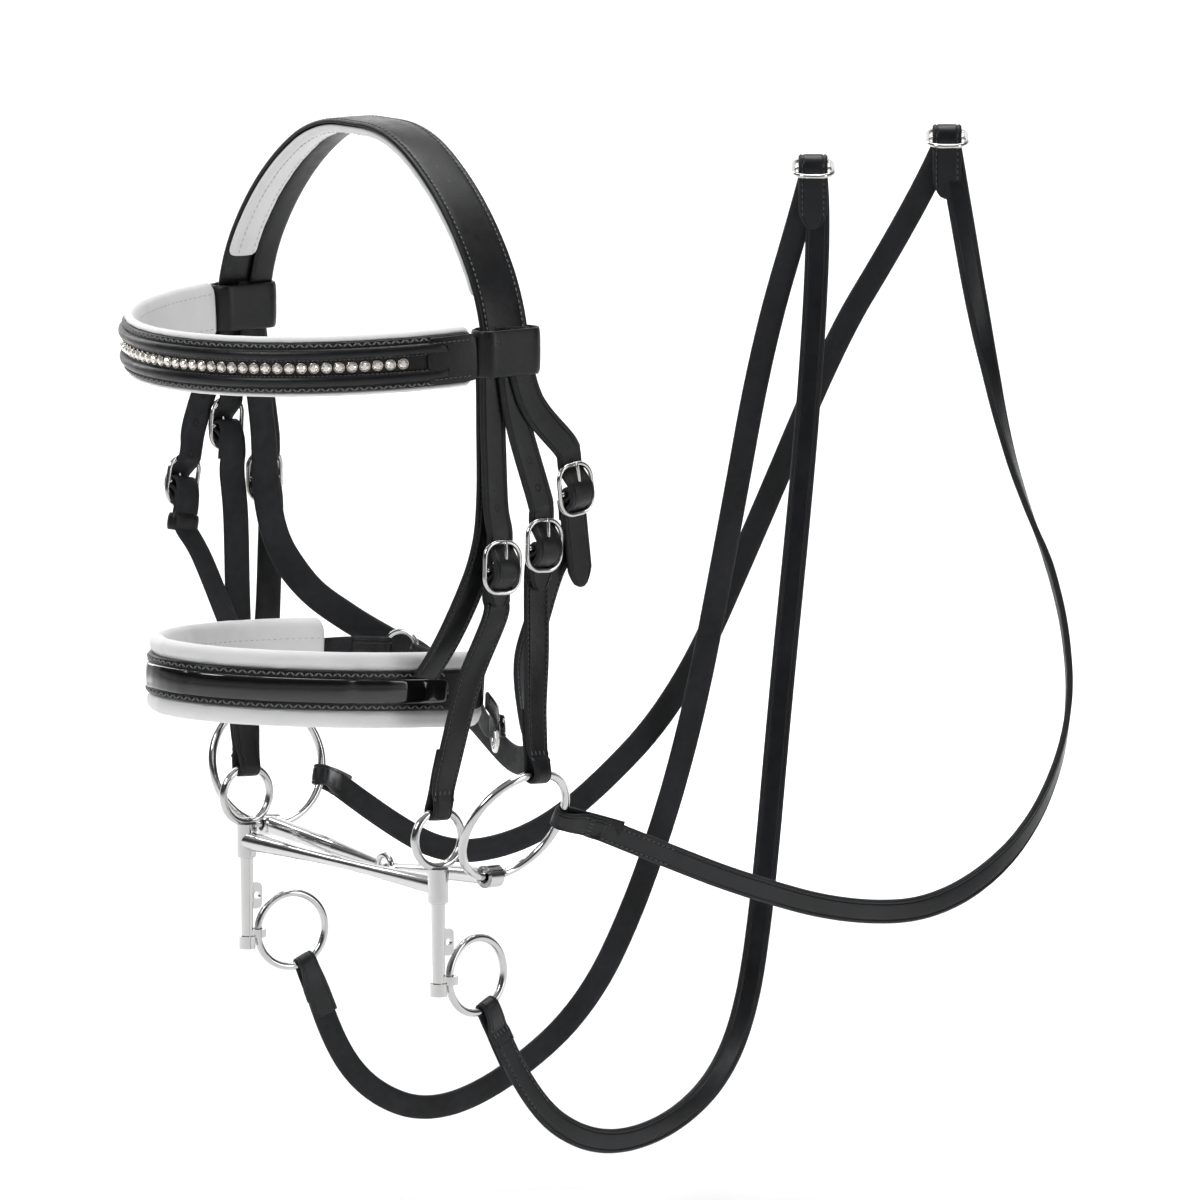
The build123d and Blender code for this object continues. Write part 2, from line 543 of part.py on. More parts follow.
FACING = Vector(0.809, -0.588, 0)
UP = Vector(0, 0, 1)
FOLD_PROFILE = (((-26, 3.4), (1, 0)), ((0, 3.4), (1, 0)), ((2.6, 2.4), (0.7, 0.7)), ((3.8, 0), (0, 1)),
                ((2.6, -2.4), (-0.7, 0.7)), ((0, -3.4), (-1, 0)), ((-11, -3.4), (-1, 0)))
REIN_TOPS = (Vector(0, 222, -28), Vector(0, 291.5, -20))
with BuildPart() as rein_top_folds:
    for base in REIN_TOPS:
        route = [base + UP * up + FACING * out for (up, out), _ in FOLD_PROFILE]
        normals = [FACING * n_out + UP * n_up for _, (n_out, n_up) in FOLD_PROFILE]
        for plane in stations([(p.X, p.Y, p.Z) for p in route], [(n.X, n.Y, n.Z) for n in normals]):
            with BuildSketch(plane):
                Rectangle(STRAP_WIDTH, 2.0)
        loft(ruled=True)
save(rein_top_folds, "rein_top_folds")

with BuildPart() as rein_top_buckles:
    for base in REIN_TOPS:
        tilt = (UP * 0.97 + FACING * 0.24).normalized()
        back = (FACING * -0.97 + UP * 0.24).normalized()
        seat = Plane(origin=base - UP, x_dir=back.cross(tilt), z_dir=tilt)
        with BuildSketch(seat):
            RectangleRounded(FRAME_ACROSS, FRAME_UP, 5.0)
            RectangleRounded(FRAME_ACROSS - 2 * FRAME_WIRE, FRAME_UP - 2 * FRAME_WIRE, 3.1,
                             mode=Mode.SUBTRACT)
        extrude(amount=FRAME_WIRE / 2, both=True)
        with BuildSketch(Plane(origin=base - UP, z_dir=back.cross(tilt), x_dir=tilt)):
            Circle(0.9)
        extrude(amount=FRAME_ACROSS / 2 - FRAME_WIRE / 2, both=True)
save(rein_top_buckles, "rein_top_buckles")
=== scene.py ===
import math
import random

import bpy
import numpy as np
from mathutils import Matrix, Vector


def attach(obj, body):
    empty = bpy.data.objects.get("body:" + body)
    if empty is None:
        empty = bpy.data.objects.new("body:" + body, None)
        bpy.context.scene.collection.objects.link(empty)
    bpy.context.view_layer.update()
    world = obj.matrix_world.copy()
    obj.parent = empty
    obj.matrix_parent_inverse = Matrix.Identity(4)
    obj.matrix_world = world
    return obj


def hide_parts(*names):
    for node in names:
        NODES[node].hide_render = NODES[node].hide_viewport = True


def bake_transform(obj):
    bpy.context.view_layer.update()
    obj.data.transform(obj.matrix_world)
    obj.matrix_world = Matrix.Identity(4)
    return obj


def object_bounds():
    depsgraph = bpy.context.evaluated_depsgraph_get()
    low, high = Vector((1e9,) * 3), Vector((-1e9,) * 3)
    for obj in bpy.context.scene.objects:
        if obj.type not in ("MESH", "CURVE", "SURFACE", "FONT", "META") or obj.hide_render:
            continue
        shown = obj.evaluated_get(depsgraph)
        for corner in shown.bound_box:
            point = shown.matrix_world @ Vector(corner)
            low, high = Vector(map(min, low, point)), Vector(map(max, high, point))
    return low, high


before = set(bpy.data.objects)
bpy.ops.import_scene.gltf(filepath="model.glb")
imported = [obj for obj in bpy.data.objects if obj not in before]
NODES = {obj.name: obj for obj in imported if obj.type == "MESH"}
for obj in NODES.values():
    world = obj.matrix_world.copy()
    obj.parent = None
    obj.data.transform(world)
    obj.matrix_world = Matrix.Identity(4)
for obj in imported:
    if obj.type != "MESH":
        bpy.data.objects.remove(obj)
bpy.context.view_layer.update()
ROOT = "bridle"
MM = 0.001
random.seed(4)
rng = np.random.default_rng(4)

# ------------------------------------------------------------------ camera
AZIMUTH, ELEVATION = math.radians(54.0), math.radians(8.4)
FOCAL_PX, PX_PER_METRE, IMAGE = 12000.0, 2500.0, 1200.0
BACK = Vector((math.sin(AZIMUTH) * math.cos(ELEVATION), -math.cos(AZIMUTH) * math.cos(ELEVATION),
               math.sin(ELEVATION)))
AIM = Vector((0.0762, 0.0584, -0.1852))


def add_camera():
    data = bpy.data.cameras.new("camera")
    data.sensor_width = 36.0
    data.lens = FOCAL_PX / IMAGE * 36.0
    data.clip_end = 60.0
    camera = bpy.data.objects.new("camera", data)
    camera.location = AIM + BACK * (FOCAL_PX / PX_PER_METRE)
    camera.rotation_euler = BACK.to_track_quat("Z", "Y").to_euler()
    bpy.context.scene.collection.objects.link(camera)
    bpy.context.scene.camera = camera


add_camera()


# ------------------------------------------------------------------ small maths
def unit(v):
    v = np.asarray(v, float)
    return v / max(np.linalg.norm(v), 1e-12)


def rows_unit(a):
    return a / np.maximum(np.linalg.norm(a, axis=1, keepdims=True), 1e-12)


def lengths(points):
    return np.concatenate([[0.0], np.cumsum(np.linalg.norm(np.diff(points, axis=0), axis=1))])


def resample(points, values, step):
    """Even steps along a line, with per-point values carried along."""
    run = lengths(points)
    count = max(int(round(run[-1] / step)), 2)
    at = np.linspace(0, run[-1], count + 1)
    line = np.stack([np.interp(at, run, points[:, i]) for i in range(3)], axis=1)
    carried = np.stack([np.interp(at, run, values[:, i]) for i in range(values.shape[1])], axis=1)
    return line, carried


def smooth_route(route, normals, step=1.2 * MM, tight=False):
    """A smooth line near (or, if tight, through) given points in millimetres, with face normals."""
    p = np.array(route, float) * MM
    n = np.array(normals, float)
    if n.ndim == 1:
        n = np.repeat(n[None], len(p), axis=0)
    both = np.hstack([p, n])
    if tight:
        padded_ends = np.vstack([2 * both[0] - both[1], both, 2 * both[-1] - both[-2]])
        made = []
        for i in range(1, len(padded_ends) - 2):
            a, b, c, d = padded_ends[i - 1:i + 3]
            for t in np.linspace(0, 1, 24, endpoint=False):
                made.append(0.5 * ((2 * b) + (c - a) * t + (2 * a - 5 * b + 4 * c - d) * t ** 2
                                   + (3 * b - a - 3 * c + d) * t ** 3))
        made.append(both[-1])
        dense = np.array(made)
    else:
        dense = both
        for _ in range(4):
            cut = [dense[0]]
            for a, b in zip(dense[:-1], dense[1:]):
                cut += [a * 0.75 + b * 0.25, a * 0.25 + b * 0.75]
            dense = np.array(cut + [dense[-1]])
    line, carried = resample(dense[:, :3], dense[:, 3:], step)
    return line, rows_unit(carried)


def frames(line, normals):
    """Along, across and outward at every point of a line."""
    along = rows_unit(np.gradient(line, axis=0))
    across = rows_unit(np.cross(along, normals))
    return along, across, np.cross(across, along)


# ------------------------------------------------------------------ mesh helpers
def make_mesh(name, verts, faces, materials, index=None, smooth=True):
    mesh = bpy.data.meshes.new(name)
    mesh.from_pydata([tuple(v) for v in verts], [], [tuple(f) for f in faces])
    for material in materials:
        mesh.materials.append(material)
    if index is not None:
        mesh.polygons.foreach_set("material_index", np.asarray(index, np.int32))
    mesh.polygons.foreach_set("use_smooth", [smooth] * len(mesh.polygons))
    mesh.update()
    piece = bpy.data.objects.new(name, mesh)
    bpy.context.scene.collection.objects.link(piece)
    return piece


def finish_piece(piece, replaces=(), body=ROOT):
    if replaces:
        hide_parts(*replaces)
    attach(piece, body)
    return piece


def skin(sections, closed_line=False):
    """Quads over a stack of equal closed sections, with fans at the two ends."""
    count, size = len(sections), len(sections[0])
    verts = np.concatenate(sections)
    faces = []
    for i in range(count if closed_line else count - 1):
        a, b = i * size, ((i + 1) % count) * size
        for j in range(size):
            k = (j + 1) % size
            faces.append((a + j, a + k, b + k, b + j))
    if not closed_line:
        faces.append(tuple(range(size))[::-1])
        faces.append(tuple((count - 1) * size + j for j in range(size)))
    return verts, faces


def strap_profile(width, thick, creases=True, puff=0.0, edge=None):
    """The closed section of a flat strap: rounded edges, crease lines near them, a slight crown."""
    half, t = width / 2, thick / 2
    edge = min(t, 0.9 * MM) if edge is None else edge
    outer = []
    marks = [half - edge]
    if creases:
        c, g = half - 1.75 * MM, 0.42 * MM
        marks += [c + g, c + g * 0.45, c, c - g * 0.45, c - g]
    marks += [half * 0.55, half * 0.25]
    marks += [-m for m in reversed(marks)]
    for u in marks:
        rise = t + puff * math.cos(math.pi * 0.5 * min(abs(u) / half, 1.0)) ** 0.7
        if creases:
            rise -= 0.42 * MM * math.exp(-((abs(u) - (half - 1.75 * MM)) / (0.22 * MM)) ** 2)
        outer.append((u, rise))
    section = list(outer)
    for angle in (150, 180, 210):
        a = math.radians(angle)
        section.append((-half + edge + edge * math.cos(a), t * math.sin(a)))
    for u in (-half + edge, -half * 0.4, half * 0.4, half - edge):
        section.append((u, -t))
    for angle in (-30, 0, 30):
        a = math.radians(angle)
        section.append((half - edge + edge * math.cos(a), t * math.sin(a)))
    return np.array(section), len(outer)


def strap_mesh(name, line, normals, profile, materials, scale=None, lift=0.0, wobble=0.0):
    """Sweep a strap section along a line. The outer face takes materials[0], the rest materials[1]."""
    section, outer = profile
    along, across, out = frames(line, normals)
    size = np.ones(len(line)) if scale is None else scale
    if wobble:
        t = np.linspace(0, 1, len(line)) * lengths(line)[-1]
        shift = wobble * (np.sin(t * 95 + len(name)) + 0.6 * np.sin(t * 231 + 1.3))
        line = line + out * shift[:, None]
    rings = [line[i] + across[i] * (section[:, :1] * size[i]) + out[i] * (section[:, 1:] + lift)
             for i in range(len(line))]
    verts, faces = skin(rings)
    side = len(section)
    index = [0 if (f % side) < outer - 1 else 1 for f in range((len(line) - 1) * side)] + [1, 1]
    return make_mesh(name, verts, faces, materials, index)


def tip_scale(line, start=None, end=None, pointed=7.0 * MM):
    """Width factors that round off a strap's ends: start or end may be "tip" or "round"."""
    run = lengths(line)
    scale = np.ones(len(line))
    for which, d in ((start, run), (end, run[-1] - run)):
        if which == "tip":
            scale *= np.clip(0.18 + 0.82 * np.sqrt(np.clip(d / pointed, 0, 1)), 0, 1)
        if which == "round":
            scale *= np.sqrt(np.clip(0.05 + 1.6 * d / pointed, 0, 1))
    return scale


BLOB = []
for ring, (height, radius) in enumerate(((-1.0, 0.0), (-0.62, 0.8), (0.0, 1.0), (0.62, 0.8), (1.0, 0.0))):
    BLOB.append((height, radius))


def stitch_mesh(name, centres, dirs, ups, material, length=2.0 * MM, radius=0.26 * MM, slot="black_leather",
                body=ROOT):
    """Many small thread stitches, each a six-sided spindle laid on the surface, in one mesh."""
    verts, faces = [], []
    for centre, d, up in zip(centres, dirs, ups):
        d, up = unit(d), unit(up)
        side = np.cross(d, up)
        base = len(verts)
        verts.append(centre - d * length * 0.5 - up * radius * 0.7)
        for height, r in BLOB[1:4]:
            for k in range(6):
                a = k * math.pi / 3
                verts.append(centre + d * (length * 0.5 * height) + (side * math.cos(a) + up * math.sin(a)) * radius * r)
        verts.append(centre + d * length * 0.5 - up * radius * 0.7)
        for k in range(6):
            n = (k + 1) % 6
            faces.append((base, base + 1 + n, base + 1 + k))
            for ring in range(2):
                a = base + 1 + ring * 6
                faces.append((a + k, a + n, a + 6 + n, a + 6 + k))
            faces.append((base + 13 + k, base + 13 + n, base + 19))
    piece = make_mesh(name, verts, faces, [material])
    if body:
        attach(piece, body)
    return piece


def seam(line, normals, offset, lift, pitch=2.5 * MM, slant=0.0, begin=0.0, end=0.0):
    """Stitch places along a strap at a sideways offset, as centres, directions and ups."""
    run = lengths(line)
    at = np.arange(begin + pitch / 2, run[-1] - end, pitch)
    along, across, out = frames(line, normals)
    pick = lambda a: np.stack([np.interp(at, run, a[:, i]) for i in range(3)], axis=1)
    l, t, w, n = pick(line), rows_unit(pick(along)), rows_unit(pick(across)), rows_unit(pick(out))
    sign = np.where(np.arange(len(at)) % 2, 1.0, -1.0)[:, None] if slant else np.zeros((len(at), 1))
    return l + w * offset + n * lift, t + w * sign * slant, n


def join_seams(*seams):
    return [np.concatenate(part) for part in zip(*seams)]


def tube_mesh(name, line, radius, materials, closed=False, sides=14):
    """A round wire along a line; radius may vary along it."""
    radius = np.full(len(line), radius) if np.isscalar(radius) else radius
    along = rows_unit(np.roll(line, -1, axis=0) - np.roll(line, 1, axis=0)) if closed \
        else rows_unit(np.gradient(line, axis=0))
    up = unit(np.cross(along[0], along[len(along) // 3]) + np.array([1e-6, 2e-6, 1e-6]))
    rings, angles = [], np.linspace(0, 2 * math.pi, sides, endpoint=False)
    for i, p in enumerate(line):
        side = unit(np.cross(along[i], up))
        up = np.cross(side, along[i])
        rings.append(p + radius[i] * (np.cos(angles)[:, None] * side + np.sin(angles)[:, None] * up))
    verts, faces = skin(rings, closed)
    return make_mesh(name, verts, faces, materials)


# ------------------------------------------------------------------ materials
def material(name, base, roughness=0.5, metallic=0.0, coat=0.0, sheen=0.0, specular=0.5, coat_roughness=0.1):
    m = bpy.data.materials.new(name)
    m.use_nodes = True
    shader = m.node_tree.nodes["Principled BSDF"]
    shader.inputs["Base Color"].default_value = (*base, 1)
    shader.inputs["Roughness"].default_value = roughness
    shader.inputs["Metallic"].default_value = metallic
    shader.inputs["Coat Weight"].default_value = coat
    shader.inputs["Coat Roughness"].default_value = coat_roughness
    shader.inputs["Sheen Weight"].default_value = sheen
    shader.inputs["Specular IOR Level"].default_value = specular
    return m, m.node_tree, shader


def link(tree, a, b):
    tree.links.new(a, b)


def noise(tree, scale, detail=4.0, rough=0.55):
    coord = tree.nodes.new("ShaderNodeTexCoord")
    node = tree.nodes.new("ShaderNodeTexNoise")
    node.inputs["Scale"].default_value = scale
    node.inputs["Detail"].default_value = detail
    node.inputs["Roughness"].default_value = rough
    link(tree, coord.outputs["Object"], node.inputs["Vector"])
    return node


def ramp(tree, source, stops):
    node = tree.nodes.new("ShaderNodeValToRGB")
    elements = node.color_ramp.elements
    for i, (at, colour) in enumerate(stops):
        element = elements[i] if i < 2 else elements.new(at)
        element.position = at
        element.color = (*colour, 1) if len(colour) == 3 else colour
    link(tree, source, node.inputs["Fac"])
    return node


def bump(tree, shader, sources):
    """Stack bumps: each source is (height output, strength, distance)."""
    last = None
    for height, strength, distance in sources:
        node = tree.nodes.new("ShaderNodeBump")
        node.inputs["Strength"].default_value = strength
        node.inputs["Distance"].default_value = distance
        link(tree, height, node.inputs["Height"])
        if last:
            link(tree, last.outputs["Normal"], node.inputs["Normal"])
        last = node
    link(tree, last.outputs["Normal"], shader.inputs["Normal"])


def cells(tree, scale, feature="DISTANCE_TO_EDGE"):
    coord = tree.nodes.new("ShaderNodeTexCoord")
    node = tree.nodes.new("ShaderNodeTexVoronoi")
    node.feature = feature
    node.inputs["Scale"].default_value = scale
    link(tree, coord.outputs["Object"], node.inputs["Vector"])
    return node


def leather(name, dark, light, rough_low, rough_high, grain=900.0, depth=0.25, coat=0.0, specular=0.5):
    """Grained leather: pore cells, soft mottling in colour and gloss."""
    m, tree, shader = material(name, dark, coat=coat, specular=specular, coat_roughness=0.25)
    mottle = noise(tree, 38.0, 5.0)
    link(tree, ramp(tree, mottle.outputs["Fac"], ((0.3, dark), (0.75, light))).outputs["Color"],
         shader.inputs["Base Color"])
    fine = noise(tree, 260.0, 3.0)
    link(tree, ramp(tree, fine.outputs["Fac"], ((0.25, (rough_low,) * 3), (0.8, (rough_high,) * 3))).outputs["Color"],
         shader.inputs["Roughness"])
    pores = cells(tree, grain)
    bump(tree, shader, ((pores.outputs["Distance"], depth, 0.00012), (noise(tree, 120.0, 6.0).outputs["Fac"],
                                                                       depth * 0.7, 0.0003)))
    return m


BLACK = leather("black_leather_grain", (0.0040, 0.0042, 0.0048), (0.0105, 0.011, 0.0125), 0.26, 0.46, depth=0.6,
                specular=0.36)
FLESH = leather("black_flesh_side", (0.008, 0.0085, 0.0095), (0.020, 0.021, 0.024), 0.5, 0.75, grain=1500.0, depth=0.8,
                specular=0.3)
REIN = leather("rein_leather_grain", (0.0050, 0.0054, 0.0062), (0.013, 0.014, 0.0165), 0.28, 0.44, depth=0.5,
               specular=0.38)
WHITE = leather("white_nappa", (0.80, 0.80, 0.795), (0.88, 0.88, 0.875), 0.5, 0.66, grain=1300.0, depth=0.16)


def patent():
    m, tree, shader = material("patent_gloss", (0.003, 0.003, 0.0035), roughness=0.16, coat=1.0, coat_roughness=0.03)
    bump(tree, shader, ((noise(tree, 45.0, 2.0).outputs["Fac"], 0.18, 0.0006),
                        (noise(tree, 600.0, 2.0).outputs["Fac"], 0.03, 0.0001)))
    fine = noise(tree, 90.0)
    link(tree, ramp(tree, fine.outputs["Fac"], ((0.3, (0.10,) * 3), (0.8, (0.2,) * 3))).outputs["Color"],
         shader.inputs["Roughness"])
    return m


def metal(name, colour, low, high, scratch=0.04):
    m, tree, shader = material(name, colour, metallic=1.0, roughness=low)
    cloud = noise(tree, 70.0, 4.0)
    link(tree, ramp(tree, cloud.outputs["Fac"], ((0.3, (low,) * 3), (0.8, (high,) * 3))).outputs["Color"],
         shader.inputs["Roughness"])
    tone = ramp(tree, noise(tree, 25.0).outputs["Fac"], ((0.2, tuple(c * 0.9 for c in colour)), (0.8, colour)))
    link(tree, tone.outputs["Color"], shader.inputs["Base Color"])
    bump(tree, shader, ((noise(tree, 900.0, 2.0).outputs["Fac"], scratch, 0.00005),))
    return m


def crystal():
    m, tree, shader = material("crystal_clear", (0.96, 0.9, 0.82), roughness=0.04, metallic=0.7, specular=0.9)
    tint = ramp(tree, noise(tree, 420.0, 1.0).outputs["Fac"],
                ((0.42, (1.0, 0.99, 0.97)), (0.6, (1.0, 0.95, 0.88)), (0.8, (0.92, 0.80, 0.68))))
    link(tree, tint.outputs["Color"], shader.inputs["Base Color"])
    return m


def thread(name, colour, rough):
    m, tree, shader = material(name, colour, roughness=rough, sheen=0.2)
    twist = tree.nodes.new("ShaderNodeTexWave")
    twist.inputs["Scale"].default_value = 900.0
    coord = tree.nodes.new("ShaderNodeTexCoord")
    link(tree, coord.outputs["Object"], twist.inputs["Vector"])
    tone = ramp(tree, twist.outputs["Fac"], ((0.2, tuple(c * 0.7 for c in colour)), (0.9, colour)))
    link(tree, tone.outputs["Color"], shader.inputs["Base Color"])
    bump(tree, shader, ((twist.outputs["Fac"], 0.3, 0.00008),))
    return m


PATENT = patent()
METAL = metal("polished_steel", (0.66, 0.66, 0.655), 0.07, 0.17)
BRIGHT = metal("buckle_nickel", (0.66, 0.65, 0.635), 0.1, 0.22)
CUP = metal("crystal_cup", (0.62, 0.55, 0.46), 0.12, 0.25)
CRYSTAL = crystal()
BLACK_THREAD = thread("black_thread", (0.085, 0.087, 0.093), 0.38)
# painted highlight: the black edge stitching is drawn in light grey, standing in for the highlights the thread catches
PAINTED_HIGHLIGHT_EDGE_THREAD = thread("edge_thread_painted_highlight", (0.20, 0.205, 0.215), 0.34)
GREY_THREAD = thread("white_thread", (0.72, 0.72, 0.71), 0.6)
# painted shade: a near-black colour for the rims and discs of punched holes, standing in for the shade inside each open
# hole
HOLE_PAINTED_SHADE = thread("hole_painted_shade", (0.003, 0.003, 0.003), 0.9)

# ------------------------------------------------------------------ reins: free cords, on the routes of the CAD (m)
REIN_WIDTH, REIN_THICK = 10.0 * MM, 2.4 * MM
CURB_NEAR = [(0.0652, 0.0182, -0.3617), (0.067, 0.031, -0.389), (0.066, 0.0608, -0.409), (0.062, 0.0962, -0.4095),
             (0.056, 0.1294, -0.3955), (0.050, 0.1506, -0.3697), (0.042, 0.1656, -0.3227), (0.029, 0.184, -0.243),
             (0.017, 0.2035, -0.160), (0.008, 0.2165, -0.098), (0.0022, 0.2236, -0.044), (0.0010, 0.2222, -0.030)]
CURB_FAR = [(-0.0652, 0.0182, -0.3617), (-0.0656, 0.026, -0.383), (-0.0635, 0.043, -0.405), (-0.060, 0.070, -0.4165),
            (-0.055, 0.1026, -0.407), (-0.048, 0.141, -0.379), (-0.041, 0.164, -0.332), (-0.032, 0.183, -0.2655),
            (-0.022, 0.196, -0.178), (-0.013, 0.206, -0.102), (-0.0036, 0.2200, -0.044), (-0.0012, 0.2226, -0.030)]
BRADOON_NEAR = [(0.095, 0.045, -0.274), (0.099, 0.072, -0.286), (0.103, 0.108, -0.3015), (0.104, 0.161, -0.319),
                (0.101, 0.212, -0.323), (0.093, 0.262, -0.302), (0.082, 0.295, -0.259), (0.065, 0.303, -0.206),
                (0.046, 0.291, -0.157), (0.024, 0.290, -0.094), (0.0030, 0.2935, -0.038), (0.0010, 0.2915, -0.022)]
BRADOON_FAR = [(-0.086, 0.042, -0.279), (-0.082, 0.0663, -0.298), (-0.074, 0.091, -0.3125), (-0.066, 0.1207, -0.309),
               (-0.058, 0.1482, -0.293), (-0.046, 0.188, -0.253), (-0.034, 0.218, -0.183), (-0.020, 0.249, -0.104),
               (-0.0125, 0.271, -0.068), (-0.0048, 0.2872, -0.036), (-0.0012, 0.2921, -0.022)]
TO_VIEWER, TOP_FACE = (0.80, -0.58, 0.0), (0.809, -0.588, 0.0)


def spline_points(name, route):
    """The route as one smooth NURBS line, read back as evenly drawn points."""
    curve = bpy.data.curves.new(name, "CURVE")
    curve.dimensions = "3D"
    curve.resolution_u = 24
    spline = curve.splines.new("NURBS")
    spline.points.add(len(route) - 1)
    for point, place in zip(spline.points, route):
        point.co = (*place, 1.0)
    spline.order_u = 3
    spline.use_endpoint_u = True
    holder = bpy.data.objects.new(name, curve)
    bpy.context.scene.collection.objects.link(holder)
    bpy.context.view_layer.update()
    depsgraph = bpy.context.evaluated_depsgraph_get()
    mesh = bpy.data.meshes.new_from_object(holder.evaluated_get(depsgraph))
    points = np.array([v.co for v in mesh.vertices], float)
    bpy.data.objects.remove(holder)
    bpy.data.meshes.remove(mesh)
    return points


def turned(line, facing):
    """Face normals along a line from (share of its length, direction) pairs."""
    run = lengths(line) / lengths(line)[-1]
    marks = np.array([f for f, _ in facing])
    dirs = np.array([unit(d) for _, d in facing])
    mixed = np.stack([np.interp(run, marks, dirs[:, i]) for i in range(3)], axis=1)
    return rows_unit(mixed)


def rein(name, route, facing, node):
    """A flat rein along its route, with creased edges."""
    points = spline_points(name + "_line", route)
    line, _ = resample(points, np.zeros((len(points), 1)), 1.5 * MM)
    normals = turned(line, facing)
    piece = strap_mesh(name, line, normals, strap_profile(REIN_WIDTH, REIN_THICK, puff=0.15 * MM, edge=0.75 * MM),
                       [REIN, FLESH], wobble=0.05 * MM)
    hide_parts(node)
    return piece, line, normals


def stitched_ends(name, line, normals, material, near=36 * MM):
    """Two rows of stitches near the bit end of a rein."""
    run = lengths(line)
    part = run <= near
    rows = [seam(line[part], normals[part], side * 3.3 * MM, REIN_THICK / 2 + 0.05 * MM, pitch=2.4 * MM, begin=1 * MM,
                 end=1 * MM) for side in (-1, 1)]
    centres, dirs, ups = join_seams(*rows)
    verts_piece = stitch_mesh(name, centres, dirs, ups, material, length=1.8 * MM, radius=0.22 * MM,
                              slot="rein_leather", body=None)
    return verts_piece


for side, name, route in ((1, "near", CURB_NEAR), (-1, "far", CURB_FAR)):
    across_ring = (side * math.cos(math.radians(9)), math.sin(math.radians(9)), 0.0)
    facing = [(0.0, across_ring), (0.10, across_ring), (0.35, TO_VIEWER), (0.9, TO_VIEWER), (1.0, TOP_FACE)]
    if side < 0:
        facing = [(f, tuple(-x for x in d)) for f, d in facing]
        facing[0] = (0.0, across_ring)
        facing[1] = (0.10, across_ring)
    piece, line, normals = rein(f"curb_rein_{name}_strap", route, facing, f"curb_rein_{name}")
    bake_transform(piece)
    rows = stitched_ends(f"curb_rein_{name}_stitching", line, normals, BLACK_THREAD)
    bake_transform(rows)

NEAR_FACING = [(0.0, (0.87, 0.1, -0.35)), (0.1, (0.9, 0.0, -0.2)), (0.33, (0.95, -0.3, 0.0)), (0.44, (0.8, 0.5, 0.0)),
               (0.55, (0.55, 0.83, 0.0)), (0.66, (0.5, 0.86, 0.0)), (0.76, (0.8, 0.5, 0.0)), (0.87, (0.95, -0.2, 0.0)),
               (1.0, TOP_FACE)]
FAR_FACING = [(0.0, (-0.97, 0.1, -0.2)), (0.15, (-0.9, 0.35, 0.0)), (0.5, (-0.75, 0.6, 0.0)), (1.0, (-0.809, 0.588, 0.0))]
for name, route, facing in (("near", BRADOON_NEAR, NEAR_FACING), ("far", BRADOON_FAR, FAR_FACING)):
    piece, line, normals = rein(f"bradoon_rein_{name}_strap", route, facing, f"bradoon_rein_{name}")
    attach(piece, ROOT)
    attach(stitched_ends(f"bradoon_rein_{name}_stitching", line, normals, BLACK_THREAD), ROOT)

# ------------------------------------------------------------------ straps with known places (mm, as in the CAD)
STRAP, THICK = 12.0 * MM, 1.9 * MM
TEMPLE_X, TEMPLE_Z = 91.54, -75.95
TOP = TEMPLE_Z - 1.2
FRAME_LIFT, BAR_DROP = 4.6, -1.0


class Buckle:
    """A buckle's own axes: across the strap, up along it and out of its face, in millimetres."""

    def __init__(self, origin, outward, along):
        self.origin = np.array(origin, float)
        self.out = unit(outward)
        self.across = unit(np.cross(unit(along), self.out))
        self.up = np.cross(self.out, self.across)

    def at(self, up=0.0, out=0.0, across=0.0):
        return self.origin + self.up * up + self.out * out + self.across * across


BUCKLES = {
    "near_curb": Buckle((90, -2.5, -165), (1, -0.05, 0.05), (-0.04, 0.06, 1)),
    "near_bradoon": Buckle((91.5, 16.6, -157.5), (1, 0, 0.03), (-0.04, 0.05, 1)),
    "near_throat": Buckle((92, 31.5, -136), (1, 0.05, 0), (0, -0.12, 1)),
    "far_curb": Buckle((-89, -6, -127), (-1, -0.1, 0), (0.03, 0.05, 1)),
    "far_nose": Buckle((-91, -26, -149), (-1, -0.15, 0), (0.03, 0.2, 1)),
    "far_bradoon": Buckle((-89.5, 12.5, -150), (-1, 0, 0), (0.03, 0, 1)),
    "chin": Buckle((42, 26, -238.5), (0.5, 0.86, 0), (0.72, -0.42, 0.42)),
}
NEAR, FAR = (1, 0, 0), (-1, 0, 0)


def ply(side, k, y, z=TOP + 8):
    """The middle of the k-th strap in the stack inside a browband loop."""
    return (side * (TEMPLE_X - 2.7 + 2.15 * k), y, z)


def strap(name, route, normals, replaces, width=STRAP, thick=THICK, start=None, end=None, tight=False, body=ROOT,
          seams=True, puff=0.25 * MM, face=None, back=None, seam_inset=1.5 * MM, slot="black_leather"):
    """A finished strap: body, crease lines, and a row of stitches along each edge where it is sewn."""
    line, out = smooth_route(route, normals, tight=tight)
    scale = tip_scale(line, start, end)
    piece = strap_mesh(name, line, out, strap_profile(width, thick, puff=puff), [face or BLACK, back or FLESH], scale,
                       wobble=0.06 * MM)
    finish_piece(piece, replaces, body)
    if seams:
        rows = [seam(line, out, side * (width / 2 - seam_inset), thick / 2 + 0.02 * MM, pitch=2.3 * MM,
                     begin=4 * MM, end=4 * MM) for side in (-1, 1)]
        stitch_mesh(name + "_stitching", *join_seams(*rows), BLACK_THREAD, length=1.5 * MM, radius=0.16 * MM, body=body,
                    slot=slot)
    return line, out


